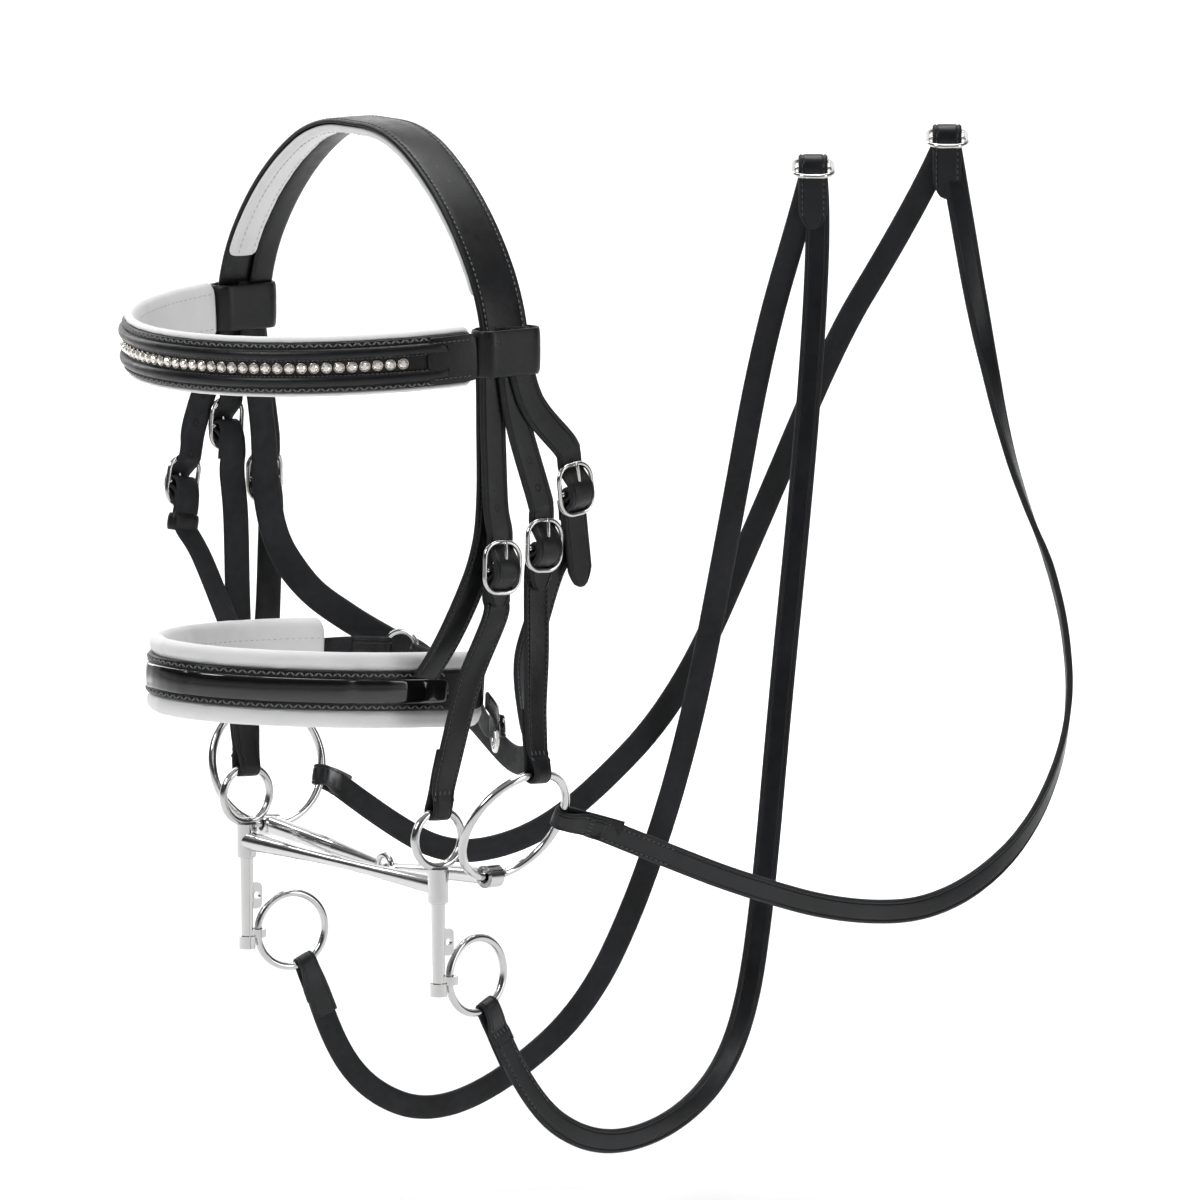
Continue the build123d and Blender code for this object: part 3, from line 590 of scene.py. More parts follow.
def holes(name, line, normals, spots, thick=THICK, width=3.2 * MM, height=2.2 * MM, body=ROOT):
    """Oval punched holes as sunken rims on both faces of a strap, at distances from its end; rims and a disc in each
    are painted shade, near-black standing in for the shade inside the open hole.
    """
    run = lengths(line)
    along, across, out = frames(line, normals)
    verts, faces = [], []
    for d in spots:
        i = int(np.argmin(np.abs(run - d)))
        for sign in (1, -1):
            base = len(verts)
            for radius, lift in ((1.0, 0.28), (0.72, 0.16), (0.5, -0.05)):
                for k in range(16):
                    a = k * math.pi / 8
                    verts.append(line[i] + across[i] * (math.cos(a) * height * 0.5 * radius)
                                 + along[i] * (math.sin(a) * width * 0.5 * radius)
                                 + out[i] * sign * (thick * 0.5 + lift * MM))
            for ring in range(2):
                for k in range(16):
                    n = (k + 1) % 16
                    a = base + ring * 16
                    quad = (a + k, a + n, a + 16 + n, a + 16 + k)
                    faces.append(quad if sign > 0 else quad[::-1])
            cap = tuple(base + 32 + k for k in range(16))
            faces.append(cap if sign > 0 else cap[::-1])
    finish_piece(make_mesh(name, verts, faces, [HOLE_PAINTED_SHADE]), body=body)


def point_strap(label, lead, tail, normals):
    """A point of the headpiece: down to its buckle, bulging over the bar, and out to its rounded tip."""
    b = BUCKLES[label]
    profile = ((14.0, 2.1), (8.6, 2.4), (5.0, 5.2), (2.2, 7.7), (-1.0, 8.6), (-4.2, 7.7), (-7.0, 4.6), (-9.4, 2.3),
               (-13.0, 2.1), (-tail, 2.1))
    route = [tuple(p) for p in lead] + [tuple(b.at(up, out)) for up, out in profile]
    faces = [normals] * len(lead) + [tuple(b.out)] * len(profile)
    name = f"{label}_point"
    line, out = smooth_route(route, faces, tight=True)
    scale = tip_scale(line, end="tip")
    piece = strap_mesh(name + "_strap", line, out, strap_profile(STRAP, 1.7 * MM, puff=0.2 * MM), [BLACK, FLESH],
                       scale, wobble=0.05 * MM)
    finish_piece(piece, (name,))
    total = lengths(line)[-1]
    holes(name + "_holes", line, out, [total - (tail + 15 + 13 * k) * MM for k in range(3)] + [total - 8 * MM] * 1,
          thick=1.7 * MM)
    return line, out


def rounded_loop(b, width, height, corner, up=0.0, out=FRAME_LIFT, count=10):
    """A rounded rectangle round a buckle's middle, in metres."""
    made = []
    for cx, cy, first in ((1, 1, 0), (-1, 1, 90), (-1, -1, 180), (1, -1, 270)):
        for k in range(count + 1):
            a = math.radians(first + 90 * k / count)
            made.append(b.at(up + cy * (height / 2 - corner) + corner * math.sin(a), out,
                             cx * (width / 2 - corner) + corner * math.cos(a)) * MM)
    line = np.array(made)
    fine, _ = resample(np.vstack([line, line[:1]]), np.zeros((len(line) + 1, 1)), 0.5 * MM)
    return fine[:-1]


def buckle(label, body=ROOT):
    """A bright wire frame with its bar, and the tongue."""
    b = BUCKLES[label]
    line = rounded_loop(b, 16.1, 20.1, 6.2)
    bow = np.array([abs(float((p / MM - b.origin) @ b.up)) for p in line])
    line = line + b.out * ((bow / 10.0) ** 2 * -0.35 * MM)[:, None]
    frame_piece = tube_mesh(f"{label}_frame_wire", line, 0.98 * MM, [BRIGHT], closed=True)
    bar = tube_mesh(f"{label}_bar", np.array([b.at(BAR_DROP, FRAME_LIFT, x) * MM for x in np.linspace(-8, 8, 9)]),
                    0.85 * MM, [BRIGHT])
    finish_piece(frame_piece, (f"{label}_buckle_frame",), body)
    finish_piece(bar, body=body)
    tongue_body = f"{label}_buckle_tongue"
    path = [(-1.0 + 1.7 * math.sin(math.radians(a)), FRAME_LIFT - 1.7 * math.cos(math.radians(a)))
            for a in range(-40, 181, 20)]
    path = [(u, n) for u, n in path] + [(1.5, 6.9), (4.0, 7.35), (8.0, 7.2), (11.1, 6.55)]
    points = np.array([b.at(u, n) * MM for u, n in path])
    fine, _ = smooth_route(points / MM, b.out, step=0.4 * MM)
    d = lengths(fine)[-1] - lengths(fine)
    radius = 0.78 * MM * np.clip(0.35 + d / (2.2 * MM), 0, 1)
    tongue = tube_mesh(f"{label}_tongue_pin", fine, radius, [BRIGHT], sides=12)
    finish_piece(tongue, (f"{label}_buckle_tongue",), tongue_body)


def keeper(name, b, up, out, width=14.2, depth=5.6, length=5.0, body=ROOT):
    """A leather keeper loop round the straps, with a raised middle and rounded edges."""
    ring = []
    for k in range(40):
        a = 2 * math.pi * k / 40
        c, s = math.cos(a), math.sin(a)
        x = math.copysign(abs(c) ** 0.42, c) * width / 2
        z = math.copysign(abs(s) ** 0.62, s) * depth / 2
        ring.append((x, z))
    rings = []
    for t, grow in ((-0.5, -0.35), (-0.42, 0.0), (-0.2, 0.25), (0.2, 0.25), (0.42, 0.0), (0.5, -0.35), (0.45, -1.0),
                    (-0.45, -1.0)):
        rings.append(np.array([b.at(up + t * length, out + z * (1 + grow * 2 / depth), x * (1 + grow * 2 / width)) * MM
                               for x, z in ring]))
    verts, faces = skin(rings, closed_line=True)
    return finish_piece(make_mesh(name, verts, faces, [BLACK]), body=body)


for label in BUCKLES:
    buckle(label)


# ------------------------------------------------------------------ folded straps: the width keeps its direction round a fold
def folded(name, route, across, replaces, width, thick, body=ROOT, narrow=(), start=None,
           end=None, material_out=None, creases=True):
    """A strap through its points with a given width direction at each, so that it can turn back on itself."""
    p = np.array(route, float)
    w = np.array([unit(a) for a in across])
    line, carried = smooth_route(p, w, step=0.8 * MM, tight=True)
    along = rows_unit(np.gradient(line, axis=0))
    normals = rows_unit(np.cross(carried, along))
    scale = tip_scale(line, start, end)
    for place, factor, reach in narrow:
        d = np.linalg.norm(line - np.array(place) * MM, axis=1)
        scale = scale * (1 - (1 - factor) * np.exp(-(d / (reach * MM)) ** 2))
    piece = strap_mesh(name, line, normals, strap_profile(width, thick, creases=creases, puff=0.15 * MM),
                       [material_out or BLACK, FLESH], scale, wobble=0.03 * MM)
    finish_piece(piece, replaces, body)
    return line, normals


def round_wire(hold, toward, normal, wire, thick, back=(10, 18, 26), gap=0.1):
    """The way round a ring's wire: in on the outer side, round the wire and back on the inner side."""
    d, n, hold = unit(toward), unit(normal), np.array(hold, float)
    r = wire + thick / 2 + 0.4
    made = [hold + d * 10 + n * 0.3, hold + d * 4.2 + n * r * 0.8]
    made += [hold + (n * math.cos(a) - d * math.sin(a)) * r for a in np.radians((0, 45, 90, 135, 180))]
    made += [hold + d * 4.2 - n * r * 0.85]
    made += [hold + d * u - n * (thick + gap) for u in back]
    return made


def cross_stitches(name, line, normals, at, width, lift, material=None, body=ROOT, slot="black_leather"):
    """A row of upright stitches across a strap, with a short slanting row beside it, at a distance along it."""
    run = lengths(line)
    i = int(np.argmin(np.abs(run - at)))
    along, across, out = frames(line, normals)
    centres, dirs = [], []
    for k in range(5):
        u = (k - 2) / 4 * (width - 3.0 * MM)
        for v, slant in ((0.0, 0.0), (2.6 * MM, 0.5)):
            centres.append(line[i] + across[i] * u + along[i] * v + out[i] * lift)
            dirs.append(along[i] + across[i] * slant * (1 if k % 2 else -1))
    stitch_mesh(name, centres, dirs, [out[i]] * len(centres), material or BLACK_THREAD, length=2.3 * MM,
                radius=0.3 * MM, slot=slot, body=body)


def bar_fold(b):
    """The end of a cheek strap folded round a buckle's bar, from the front layer to the back layer."""
    places = ((-14.0, 1.35), (-6.0, 1.4), (-3.9, 3.2), (-2.9, 5.0), (-2.0, 6.2), (-1.0, 6.55), (0.1, 6.1),
              (0.85, 4.8), (0.5, 3.2), (-0.8, 1.9), (-3.4, 0.7), (-7.0, -0.05), (-12.0, -0.3))
    return [b.at(u, n) for u, n in places]


def cheek(name, label, route, centre, hang, axis, radius, wire, width=12.0, node=None):
    """A cheek strap from its buckle's bar down to a bit ring, folded and sewn at both ends."""
    b = BUCKLES[label]
    head = bar_fold(b)
    centre, hang, n = np.array(centre, float), unit(hang), unit(axis)
    last = np.array(route[-1], float)
    d = unit(last - (centre + hang * radius))
    n = unit(n - d * (n @ d))
    n = n if n @ b.out > 0 else -n
    tail = round_wire(centre + hang * radius, d, n, wire, 1.7)
    acrosses = [-b.across] * (len(head) + len(route) - 1) + [np.cross(-d, n)] * (len(tail) + 1)
    points = head + [np.array(p, float) for p in route] + tail
    ring = centre + hang * radius
    line, normals = folded(name + "_strap", points, acrosses, (node or name,), width * MM, 1.7 * MM,
                           narrow=((ring, 0.72, 9.0), (b.at(BAR_DROP, FRAME_LIFT), 0.86, 7.0)))
    run = lengths(line)
    near_ring = int(np.argmin(np.linalg.norm(line - ring * MM, axis=1)))
    stop = run[near_ring]
    first = run[int(np.argmin(np.linalg.norm(line - b.at(-12.0, -0.3) * MM, axis=1)))]
    part = (run > first) & (run < stop - 11 * MM)
    rows = [seam(line[part], normals[part], s * (width / 2 - 1.55) * MM, 0.85 * MM, pitch=2.2 * MM, begin=1 * MM,
                 end=1 * MM) for s in (-1, 1)]
    stitch_mesh(name + "_stitching", *join_seams(*rows), BLACK_THREAD, length=1.5 * MM, radius=0.17 * MM)
    cross_stitches(name + "_tack", line, normals, stop - 14 * MM, width * MM, 1.0 * MM)
    return line, normals


BRADOON_R, BRADOON_WIRE = 25.3, 1.75
BRADOON = {}
for side, lean in ((1, math.radians(29)), (-1, math.radians(12))):
    hang = unit((side * math.sin(lean), 0.11, math.cos(lean)))
    normal = unit((side * math.cos(lean), 0.1, -math.sin(lean)))
    normal = unit(normal - hang * (normal @ hang))
    BRADOON[side] = (np.array((side * 78.0, 3.2, -291.5)) + hang * BRADOON_R, hang, normal)

# points of the headpiece, with the strap that bulges over each buckle's bar
point_strap("near_curb", [ply(1, 1, -5), ply(1, 1, -5, TOP), (91.3, -4.8, -110), (91.5, -3.7, -140)], 16.0, NEAR)
point_strap("near_bradoon", [ply(1, 2, 1), ply(1, 2, 1, TOP), (93.6, 5, -105), (94, 15.6, -138)], 18.0, NEAR)
point_strap("near_throat", [ply(1, 3, 4), ply(1, 3, 4, TOP), (95.4, 11, -100), (94.6, 27.5, -118)], 40.0, NEAR)
point_strap("far_nose", [ply(-1, 3, -4.2), ply(-1, 3, -4.2, TOP), (-95, -5, -90), (-95.2, -11.5, -102),
                         (-94.2, -21.5, -126)], 16.0, FAR)
point_strap("far_curb", [ply(-1, 2, -3), ply(-1, 2, -3, TOP), (-92.6, -4.6, -100), (-91.8, -5.4, -108)], 16.0, FAR)
point_strap("far_bradoon", [ply(-1, 1, 4), ply(-1, 1, 4, TOP), (-91.4, 9, -110), (-91.6, 12, -130)], 16.0, FAR)

TOP_RING_Z, TOP_RING_R, TOP_RING_WIRE = -276.0, 11.3, 1.7
cheek("near_curb_cheek", "near_curb", [BUCKLES["near_curb"].at(-20), (82.5, -10.5, -212), (74, -13.8, -243)],
      (67.6, -15, TOP_RING_Z), (0, 0, 1), (1, 0, 0), TOP_RING_R, TOP_RING_WIRE)
cheek("far_curb_cheek", "far_curb", [BUCKLES["far_curb"].at(-20), (-85.5, -7.5, -165), (-79, -11, -205),
                                     (-73, -13.5, -238)],
      (-67.6, -15, TOP_RING_Z), (0, 0, 1), (-1, 0, 0), TOP_RING_R, TOP_RING_WIRE, width=13.0)
cheek("near_bradoon_cheek", "near_bradoon", [BUCKLES["near_bradoon"].at(-20), (95.5, 13.2, -200),
                                             (99, 10.2, -222)], *BRADOON[1], BRADOON_R, BRADOON_WIRE)
cheek("far_bradoon_cheek", "far_bradoon", [BUCKLES["far_bradoon"].at(-18), (-88.5, 10.5, -198),
                                           (-88, 8.8, -222)], *BRADOON[-1], BRADOON_R, BRADOON_WIRE)

# noseband hangers and throatlash
line, out = strap("near_noseband_hanger_strap", [ply(1, 0, -5.5), ply(1, 0, -5.5, TOP), (88.2, -4.5, -110),
                                                 (86.9, -3.6, -145), (85.4, -6.5, -164), (81.5, -11.5, -180),
                                                 (75.5, -15.5, -195), (63.6, -18, -211)], NEAR,
                  ("near_noseband_hanger",))
head = bar_fold(BUCKLES["far_nose"])
folded("far_noseband_hanger_strap", head + [BUCKLES["far_nose"].at(-18), (-84, -25, -180), (-63.6, -23.5, -210)],
       [-BUCKLES["far_nose"].across] * (len(head) + 3), ("far_noseband_hanger",), STRAP, 1.8 * MM)
throat = BUCKLES["near_throat"]
line, out = strap("throatlash_strap",
                  [throat.at(-4), throat.at(-18), (89.0, 26, -168), (86, 20.5, -188), (79, 20, -206), (67, 28, -231),
                   (51, 43.5, -249.5), (27, 50, -254.5), (0, 50, -241), (-30, 48, -222), (-47, 40, -214.5),
                   (-60, 30, -206), (-71.5, 19, -194.5), (-79.5, 10.5, -178), (-83, 6.5, -158), (-85, 5.5, -128),
                   (-88.5, 4.2, -100), ply(-1, 0, 3, TOP)],
                  [(1, 0, 0)] * 5 + [(0.8, 0.6, 0)] + [(0.4, 0.9, 0)] + [(0.1, 1, 0)] * 2 + [(-0.3, 0.95, 0)] * 2
                  + [(-0.7, 0.7, 0)] * 2 + [(-1, 0.2, 0)] * 2 + [(-1, 0, 0)] * 3, ("throatlash",), tight=True)
folded("throatlash_fold", bar_fold(throat), [-throat.across] * 13, (), STRAP, 1.7 * MM,
       narrow=((throat.at(BAR_DROP, FRAME_LIFT), 0.86, 7.0),))

# a keeper under the far noseband buckle
keeper("far_nose_keeper", BUCKLES["far_nose"], -17.0, 1.1, length=7.0)

# chin strap: two ends, a small ring, and the strap with its buckle
CHIN_RING, CHIN_AXIS, CHIN_R = np.array((-28.0, 34.0, -215.5)), unit((0.45, -0.85, 0.2)), 7.2


def chin_loop(route, normal, far_first):
    """Points and widths of a chin strap end that goes round the chin ring."""
    p = [np.array(q, float) for q in route]
    end = p[-1] if far_first else p[0]
    d = end - CHIN_RING
    d = unit(d - CHIN_AXIS * (d @ CHIN_AXIS))
    n = CHIN_AXIS if CHIN_AXIS @ unit(normal) > 0 else -CHIN_AXIS
    tail = round_wire(CHIN_RING + d * CHIN_R, d, n, 1.1, 1.4, back=(9, 14))[1:]
    body = p if far_first else p[::-1]
    toward = [unit(b - a) for a, b in zip(body[:-1], body[1:])] + [-d]
    widths = [np.cross(t, unit(normal)) for t in toward] + [np.cross(-d, n)] * len(tail)
    return body + tail, widths


route, widths = chin_loop([(-57.5, 14.5, -217.5), (-48, 25, -216.5)], (-0.5, 0.85, 0), True)
far_line, far_normals = folded("chin_end_far", route, widths, ("chin_end_straps",), 9 * MM, 1.4 * MM)
strap("chin_end_near", [(59.2, 14.8, -224), (57.5, 20, -229), (54, 22.6, -232.5), (48, 25, -235.5)], (0.6, 0.8, 0), (),
      width=9 * MM, thick=1.6 * MM)
route, widths = chin_loop([(-14, 39, -219.5), (-6, 40, -223), (14, 40, -231.5), (32, 34.5, -239.5),
                           BUCKLES["chin"].at(2, 7.5), BUCKLES["chin"].at(8, 3.0), BUCKLES["chin"].at(16, 2.2)],
                          (0.2, 1, 0), False)
folded("chin_strap_long", route, widths, ("chin_strap",), 9 * MM, 1.4 * MM, start="tip")


# rein loops on the bit rings, and the folded, buckled rein tops
def rein_loop(name, centre, normal, radius, wire, exit_point, body):
    """The stitched eye of a rein round its ring, up to where the free rein begins."""
    centre, n, stop = np.array(centre, float), unit(normal), np.array(exit_point, float)
    leave = stop - centre
    leave = unit(leave - n * (leave @ n))
    hold = centre + leave * radius
    d = unit(stop - hold)
    m = unit(n - d * (n @ d))
    tail = round_wire(hold, d, m, wire, 1.3, back=(10, 17, 25))
    reach = np.linalg.norm(stop - hold)
    points = [stop + d * 1.5 + m * 0.55, hold + d * (reach + 10) * 0.5 + m * 0.55] + tail
    widths = [np.cross(-d, m)] * len(points)
    line, normals = folded(name + "_eye", points, widths, (name,), REIN_WIDTH + 0.6 * MM, 1.4 * MM, body,
                           narrow=((hold, 0.74, 7.0),), material_out=REIN)
    cross_stitches(name + "_tack", line, normals, (reach - 10.5) * MM, REIN_WIDTH, 0.85 * MM, body=body,
                   slot="rein_leather")


for side, name, route in ((1, "near", CURB_NEAR), (-1, "far", CURB_FAR)):
    turn = math.radians(9)
    eye = np.array((side * 67.6, -15 + 5.2, -337 + 3.4))
    middle = eye + np.array((-side * math.sin(turn), math.cos(turn), 0)) * 15.2
    rein_loop(f"curb_rein_loop_{name}", middle, (side * math.cos(turn), math.sin(turn), 0), 15.2, 1.6,
              np.array(route[0]) / MM, "curb_bit")
for side, name, route in ((1, "near", BRADOON_NEAR), (-1, "far", BRADOON_FAR)):
    rein_loop(f"bradoon_rein_loop_{name}", BRADOON[side][0], BRADOON[side][2], BRADOON_R, BRADOON_WIRE,
              np.array(route[0]) / MM, ROOT)

FACING, UPWARD = np.array((0.809, -0.588, 0.0)), np.array((0.0, 0.0, 1.0))
TOP_ACROSS = np.cross(UPWARD, FACING)
for k, base in enumerate((np.array((0, 222.0, -28.0)), np.array((0, 291.5, -20.0)))):
    profile = ((-26, 3.2), (-16, 3.4), (-4, 3.5), (0.6, 3.3), (2.8, 2.2), (3.8, 0), (2.8, -2.2), (0.6, -3.3), (-4, -3.4),
               (-11, -3.4))
    points = [base + UPWARD * u + FACING * n for u, n in profile]
    line, normals = folded(f"rein_top_fold_{k}", points, [TOP_ACROSS] * len(points), ("rein_top_folds",), STRAP,
                           1.9 * MM, start="tip", material_out=REIN)
    rows = [seam(line, normals, s * 4.4 * MM, 0.95 * MM, begin=5 * MM, end=20 * MM) for s in (-1, 1)]
    stitch_mesh(f"rein_top_stitching_{k}", *join_seams(*rows), BLACK_THREAD, length=1.7 * MM, radius=0.2 * MM,
                slot="rein_leather")
    b = Buckle(base - UPWARD, UPWARD * 0.97 + FACING * 0.24, np.cross(TOP_ACROSS, UPWARD * 0.97 + FACING * 0.24))
    wire = tube_mesh(f"rein_top_wire_{k}", rounded_loop(b, 16.1, 20.1, 6.2, out=0.0), 0.98 * MM, [BRIGHT], closed=True)
    bar = tube_mesh(f"rein_top_bar_{k}", np.array([b.at(0, 0, x) * MM for x in np.linspace(-8, 8, 9)]), 0.85 * MM,
                    [BRIGHT])
    finish_piece(wire, ("rein_top_buckles",))
    finish_piece(bar)


# ------------------------------------------------------------------ bands round the head
class Band:
    """An elliptic band in a tilted plane, open at the back: places by angle, height and distance outward (mm)."""

    def __init__(self, half, depth, z, slope, end_y):
        self.half, self.depth, self.z, self.end_y = half, depth, z, end_y
        size = math.hypot(1, slope)
        self.y_dir = np.array((0, 1, slope)) / size
        self.z_dir = np.array((0, -slope, 1)) / size

    def angles(self, count, end_y=None):
        reach = math.asin(min(max((self.end_y if end_y is None else end_y) / self.depth, -1), 1))
        return np.linspace(-math.pi - reach, reach, count)

    def at(self, angle, height, out):
        c, s = math.cos(angle), math.sin(angle)
        n = unit((c / self.half, s / self.depth))
        x, y = self.half * c + n[0] * out, self.depth * s + n[1] * out
        return np.array((x, 0, self.z)) + self.y_dir * y + self.z_dir * height

    def outward(self, angle):
        n = unit((math.cos(angle) / self.half, math.sin(angle) / self.depth))
        return np.array((n[0], 0, 0)) + self.y_dir * n[1]


def band_skin(name, band, section, materials, index_of, angles, replaces, soft=None, body=ROOT):
    """Sweep a closed (height, out) section round a band. soft(angle, height, out) moves the leather a little."""
    rings = []
    for i, a in enumerate(angles):
        edge = min(i, len(angles) - 1 - i)
        ring = []
        for h, n in section:
            if edge < 3:
                mid = sum(q for _, q in section) / len(section)
                keep = (0.80, 0.93, 0.985)[edge]
                h, n = h * keep, mid + (n - mid) * keep
            push = soft(a, h, n) if soft else 0.0
            ring.append(band.at(a, h, n + push) * MM)
        rings.append(np.array(ring))
    verts, faces = skin(rings)
    size = len(section)
    index = [index_of(section[f % size], section[(f + 1) % size]) for f in range((len(rings) - 1) * size)]
    piece = make_mesh(name, verts, faces, materials, index + [index[0]] * 2)
    finish_piece(piece, replaces, body)
    return piece


def rounded(points, steps=5):
    """Round a closed outline's corners by cutting them over and over."""
    p = np.array(points, float)
    for _ in range(2):
        nxt = np.roll(p, -1, axis=0)
        p = np.stack([p * 0.75 + nxt * 0.25, p * 0.25 + nxt * 0.75], axis=1).reshape(-1, 2)
    return [tuple(q) for q in p]


def band_seam(name, band, height, out, begin, finish, pitch, material, slant=0.0, length=1.9, radius=0.24,
              inward=False):
    """A row of stitches round a band at a height, between two angles."""
    dense = np.linspace(begin, finish, 900)
    line = np.array([band.at(a, height, out) * MM for a in dense])
    run = lengths(line)
    at = np.interp(np.arange(pitch * MM, run[-1] - pitch * MM, pitch * MM), run, dense)
    centres, dirs, ups = [], [], []
    for k, a in enumerate(at):
        centres.append(band.at(a, height, out) * MM)
        d = unit(band.at(a + 0.01, height, out) - band.at(a - 0.01, height, out))
        dirs.append(d + band.z_dir * (slant if k % 2 else -slant))
        ups.append(band.outward(a) * (-1 if inward else 1))
    return stitch_mesh(name, centres, dirs, ups, material, length=length * MM, radius=radius * MM)


def gather(seed, amount, rate):
    """Small uneven waves for soft leather, by angle."""
    waves = [(rate * (1 + 0.7 * k), 1.0 / (k + 1), 1.3 * k + seed) for k in range(4)]
    return lambda a: amount * sum(w * math.sin(f * a + p) for f, w, p in waves)


# browband: white padding, black strap, two raised rolls, crystals between them, loops at its ends
BROW = Band(89.0, 96.0, -79.0, 0.055, -15.2)
wave = gather(0.4, 0.10, 41)
white = rounded([(-10.9, 0.0), (-5, -0.35), (5, -0.35), (10.2, 0.0), (12.2, 1.4), (12.3, 3.2), (10.6, 4.6), (9.6, 3.0),
                 (0, 2.8), (-9.6, 3.0), (-10.7, 4.4), (-11.7, 3.4), (-11.9, 1.6)])
brow_pad = band_skin("browband_padding_soft", BROW, white, [WHITE], lambda p, q: 0, BROW.angles(260),
                     ("browband_padding",), soft=lambda a, h, n: wave(a) * (1.0 if abs(h) > 8 else 0.5))
black = rounded([(-9.9, 3.1), (9.9, 3.1), (10.1, 4.0), (9.6, 5.1), (7.9, 5.05), (5, 5.0), (0, 5.0), (-5, 5.0),
                 (-7.9, 5.05), (-9.6, 5.1), (-10.1, 4.0)])
band_skin("browband_strap_leather", BROW, black, [BLACK], lambda p, q: 0, BROW.angles(220),
          ("browband_strap",))
ROLL_END = -25.2
for k, sign in enumerate((1, -1)):
    roll = [(sign * (5.25 + 2.45 * math.cos(t)), 4.9 + 2.2 * math.sin(t) ** 1.0) for t in
            np.linspace(0, 2 * math.pi, 18, endpoint=False)]
    roll = [(h, max(n, 4.6)) for h, n in (roll if sign > 0 else roll[::-1])]
    angles = BROW.angles(200, ROLL_END)
    band_skin(f"browband_roll_{k}", BROW, roll, [BLACK], lambda p, q: 0, angles, ("browband_rolls",))
    band_seam(f"browband_edge_stitching_{k}", BROW, sign * 8.75, 5.2, angles[0], angles[-1], 1.9, PAINTED_HIGHLIGHT_EDGE_THREAD,
              slant=0.75, length=2.1, radius=0.34)
    band_seam(f"browband_channel_stitching_{k}", BROW, sign * 3.15, 6.05, angles[0], angles[-1], 1.8, BLACK_THREAD,
              slant=0.0, length=1.3, radius=0.24)
    band_seam(f"browband_inner_stitching_{k}", BROW, sign * 7.2, -0.32, BROW.angles(2)[0], BROW.angles(2)[1], 3.0,
              GREY_THREAD, length=2.2, radius=0.2, inward=True)


def crystals():
    """Forty-five round cut stones, each in its cup with four prongs."""
    stones, cups = ([], []), ([], [])
    for i in range(45):
        a = -math.pi / 2 + (i - 22) * 5 / 98
        middle = BROW.at(a, 0.0, 5.0) * MM
        n = BROW.outward(a)
        side = unit(np.cross(BROW.z_dir, n))
        up = np.cross(n, side)
        spin = rng.uniform(0, math.pi / 4)

        def place(radius, lift, angle):
            return middle + (side * math.cos(angle) + up * math.sin(angle)) * radius * MM + n * lift * MM

        verts, faces = stones
        base = len(verts)
        for radius, lift, shift in ((1.95, 0.5, 0.0), (1.62, 1.15, 0.5), (1.0, 1.62, 0.0)):
            for k in range(8):
                verts.append(place(radius, lift, spin + (k + shift) * math.pi / 4))
        verts.append(place(0.0, -0.2, 0.0))
        for k in range(8):
            m = (k + 1) % 8
            faces.append((base + k, base + m, base + 8 + k))
            faces.append((base + m, base + 8 + m, base + 8 + k))
            faces.append((base + 8 + k, base + 16 + m, base + 16 + k))
            faces.append((base + 8 + k, base + 8 + m, base + 16 + m))
            faces.append((base + 24, base + m, base + k))
        faces.append(tuple(base + 16 + k for k in range(8)))
        verts, faces = cups
        base = len(verts)
        rim = ((2.25, -0.6), (2.3, 0.35), (2.12, 0.62), (1.9, 0.55), (1.85, -0.6))
        for radius, lift in rim:
            for k in range(16):
                verts.append(place(radius, lift, k * math.pi / 8))
        for r in range(len(rim) - 1):
            for k in range(16):
                m = (k + 1) % 16
                b = base + r * 16
                faces.append((b + k, b + m, b + 16 + m, b + 16 + k))
        for k in range(4):
            c = math.pi / 4 + k * math.pi / 2
            b = len(verts)
            for radius, lift in ((2.2, 0.3), (1.5, 1.2)):
                for w in (-0.14, 0.14):
                    verts.append(place(radius, lift, c + w))
                    verts.append(place(radius - 0.25, lift - 0.1, c + w))
            faces += [(b, b + 2, b + 6, b + 4), (b + 1, b + 5, b + 7, b + 3), (b, b + 4, b + 5, b + 1),
                      (b + 2, b + 3, b + 7, b + 6), (b + 4, b + 6, b + 7, b + 5)]
    finish_piece(make_mesh("browband_crystal_stones", *stones, [CRYSTAL], smooth=False),
                 ("browband_crystals",))
    finish_piece(make_mesh("browband_crystal_cups", *cups, [CUP]))


crystals()


def browband_loop(side):
    """The closed loop at a browband's end."""
    cx, w, d, r = side * (TEMPLE_X + 0.6), 11.4 / 2, 28.2 / 2, 4.9
    ring = []
    for x, y, first in ((1, 1, 0), (-1, 1, 90), (-1, -1, 180), (1, -1, 270)):
        for k in range(9):
            a = math.radians(first + k * 90 / 8)
            ring.append(np.array((cx + x * (w - r) + r * math.cos(a), 0.7 + y * (d - r) + r * math.sin(a), -79.0)))
    line = np.array(ring)
    fine, _ = resample(np.vstack([line, line[:1]]), np.zeros((len(line) + 1, 1)), 1.0)
    fine = fine[:-1]
    along = rows_unit(np.roll(fine, -1, axis=0) - np.roll(fine, 1, axis=0))
    outs = np.cross(along, np.array((0, 0, 1.0)))
    section = rounded([(-9.3, -0.7), (9.3, -0.7), (9.3, 0.9), (0, 1.1), (-9.3, 0.9)])
    rings = [np.array([fine[i] + np.array((0, 0, 1)) * h + outs[i] * n for h, n in section]) * MM
             for i in range(len(fine))]
    verts, faces = skin(rings, closed_line=True)
    finish_piece(make_mesh(f"browband_loop_{'near' if side > 0 else 'far'}", verts, faces, [BLACK]),
                 ("browband_loops",))


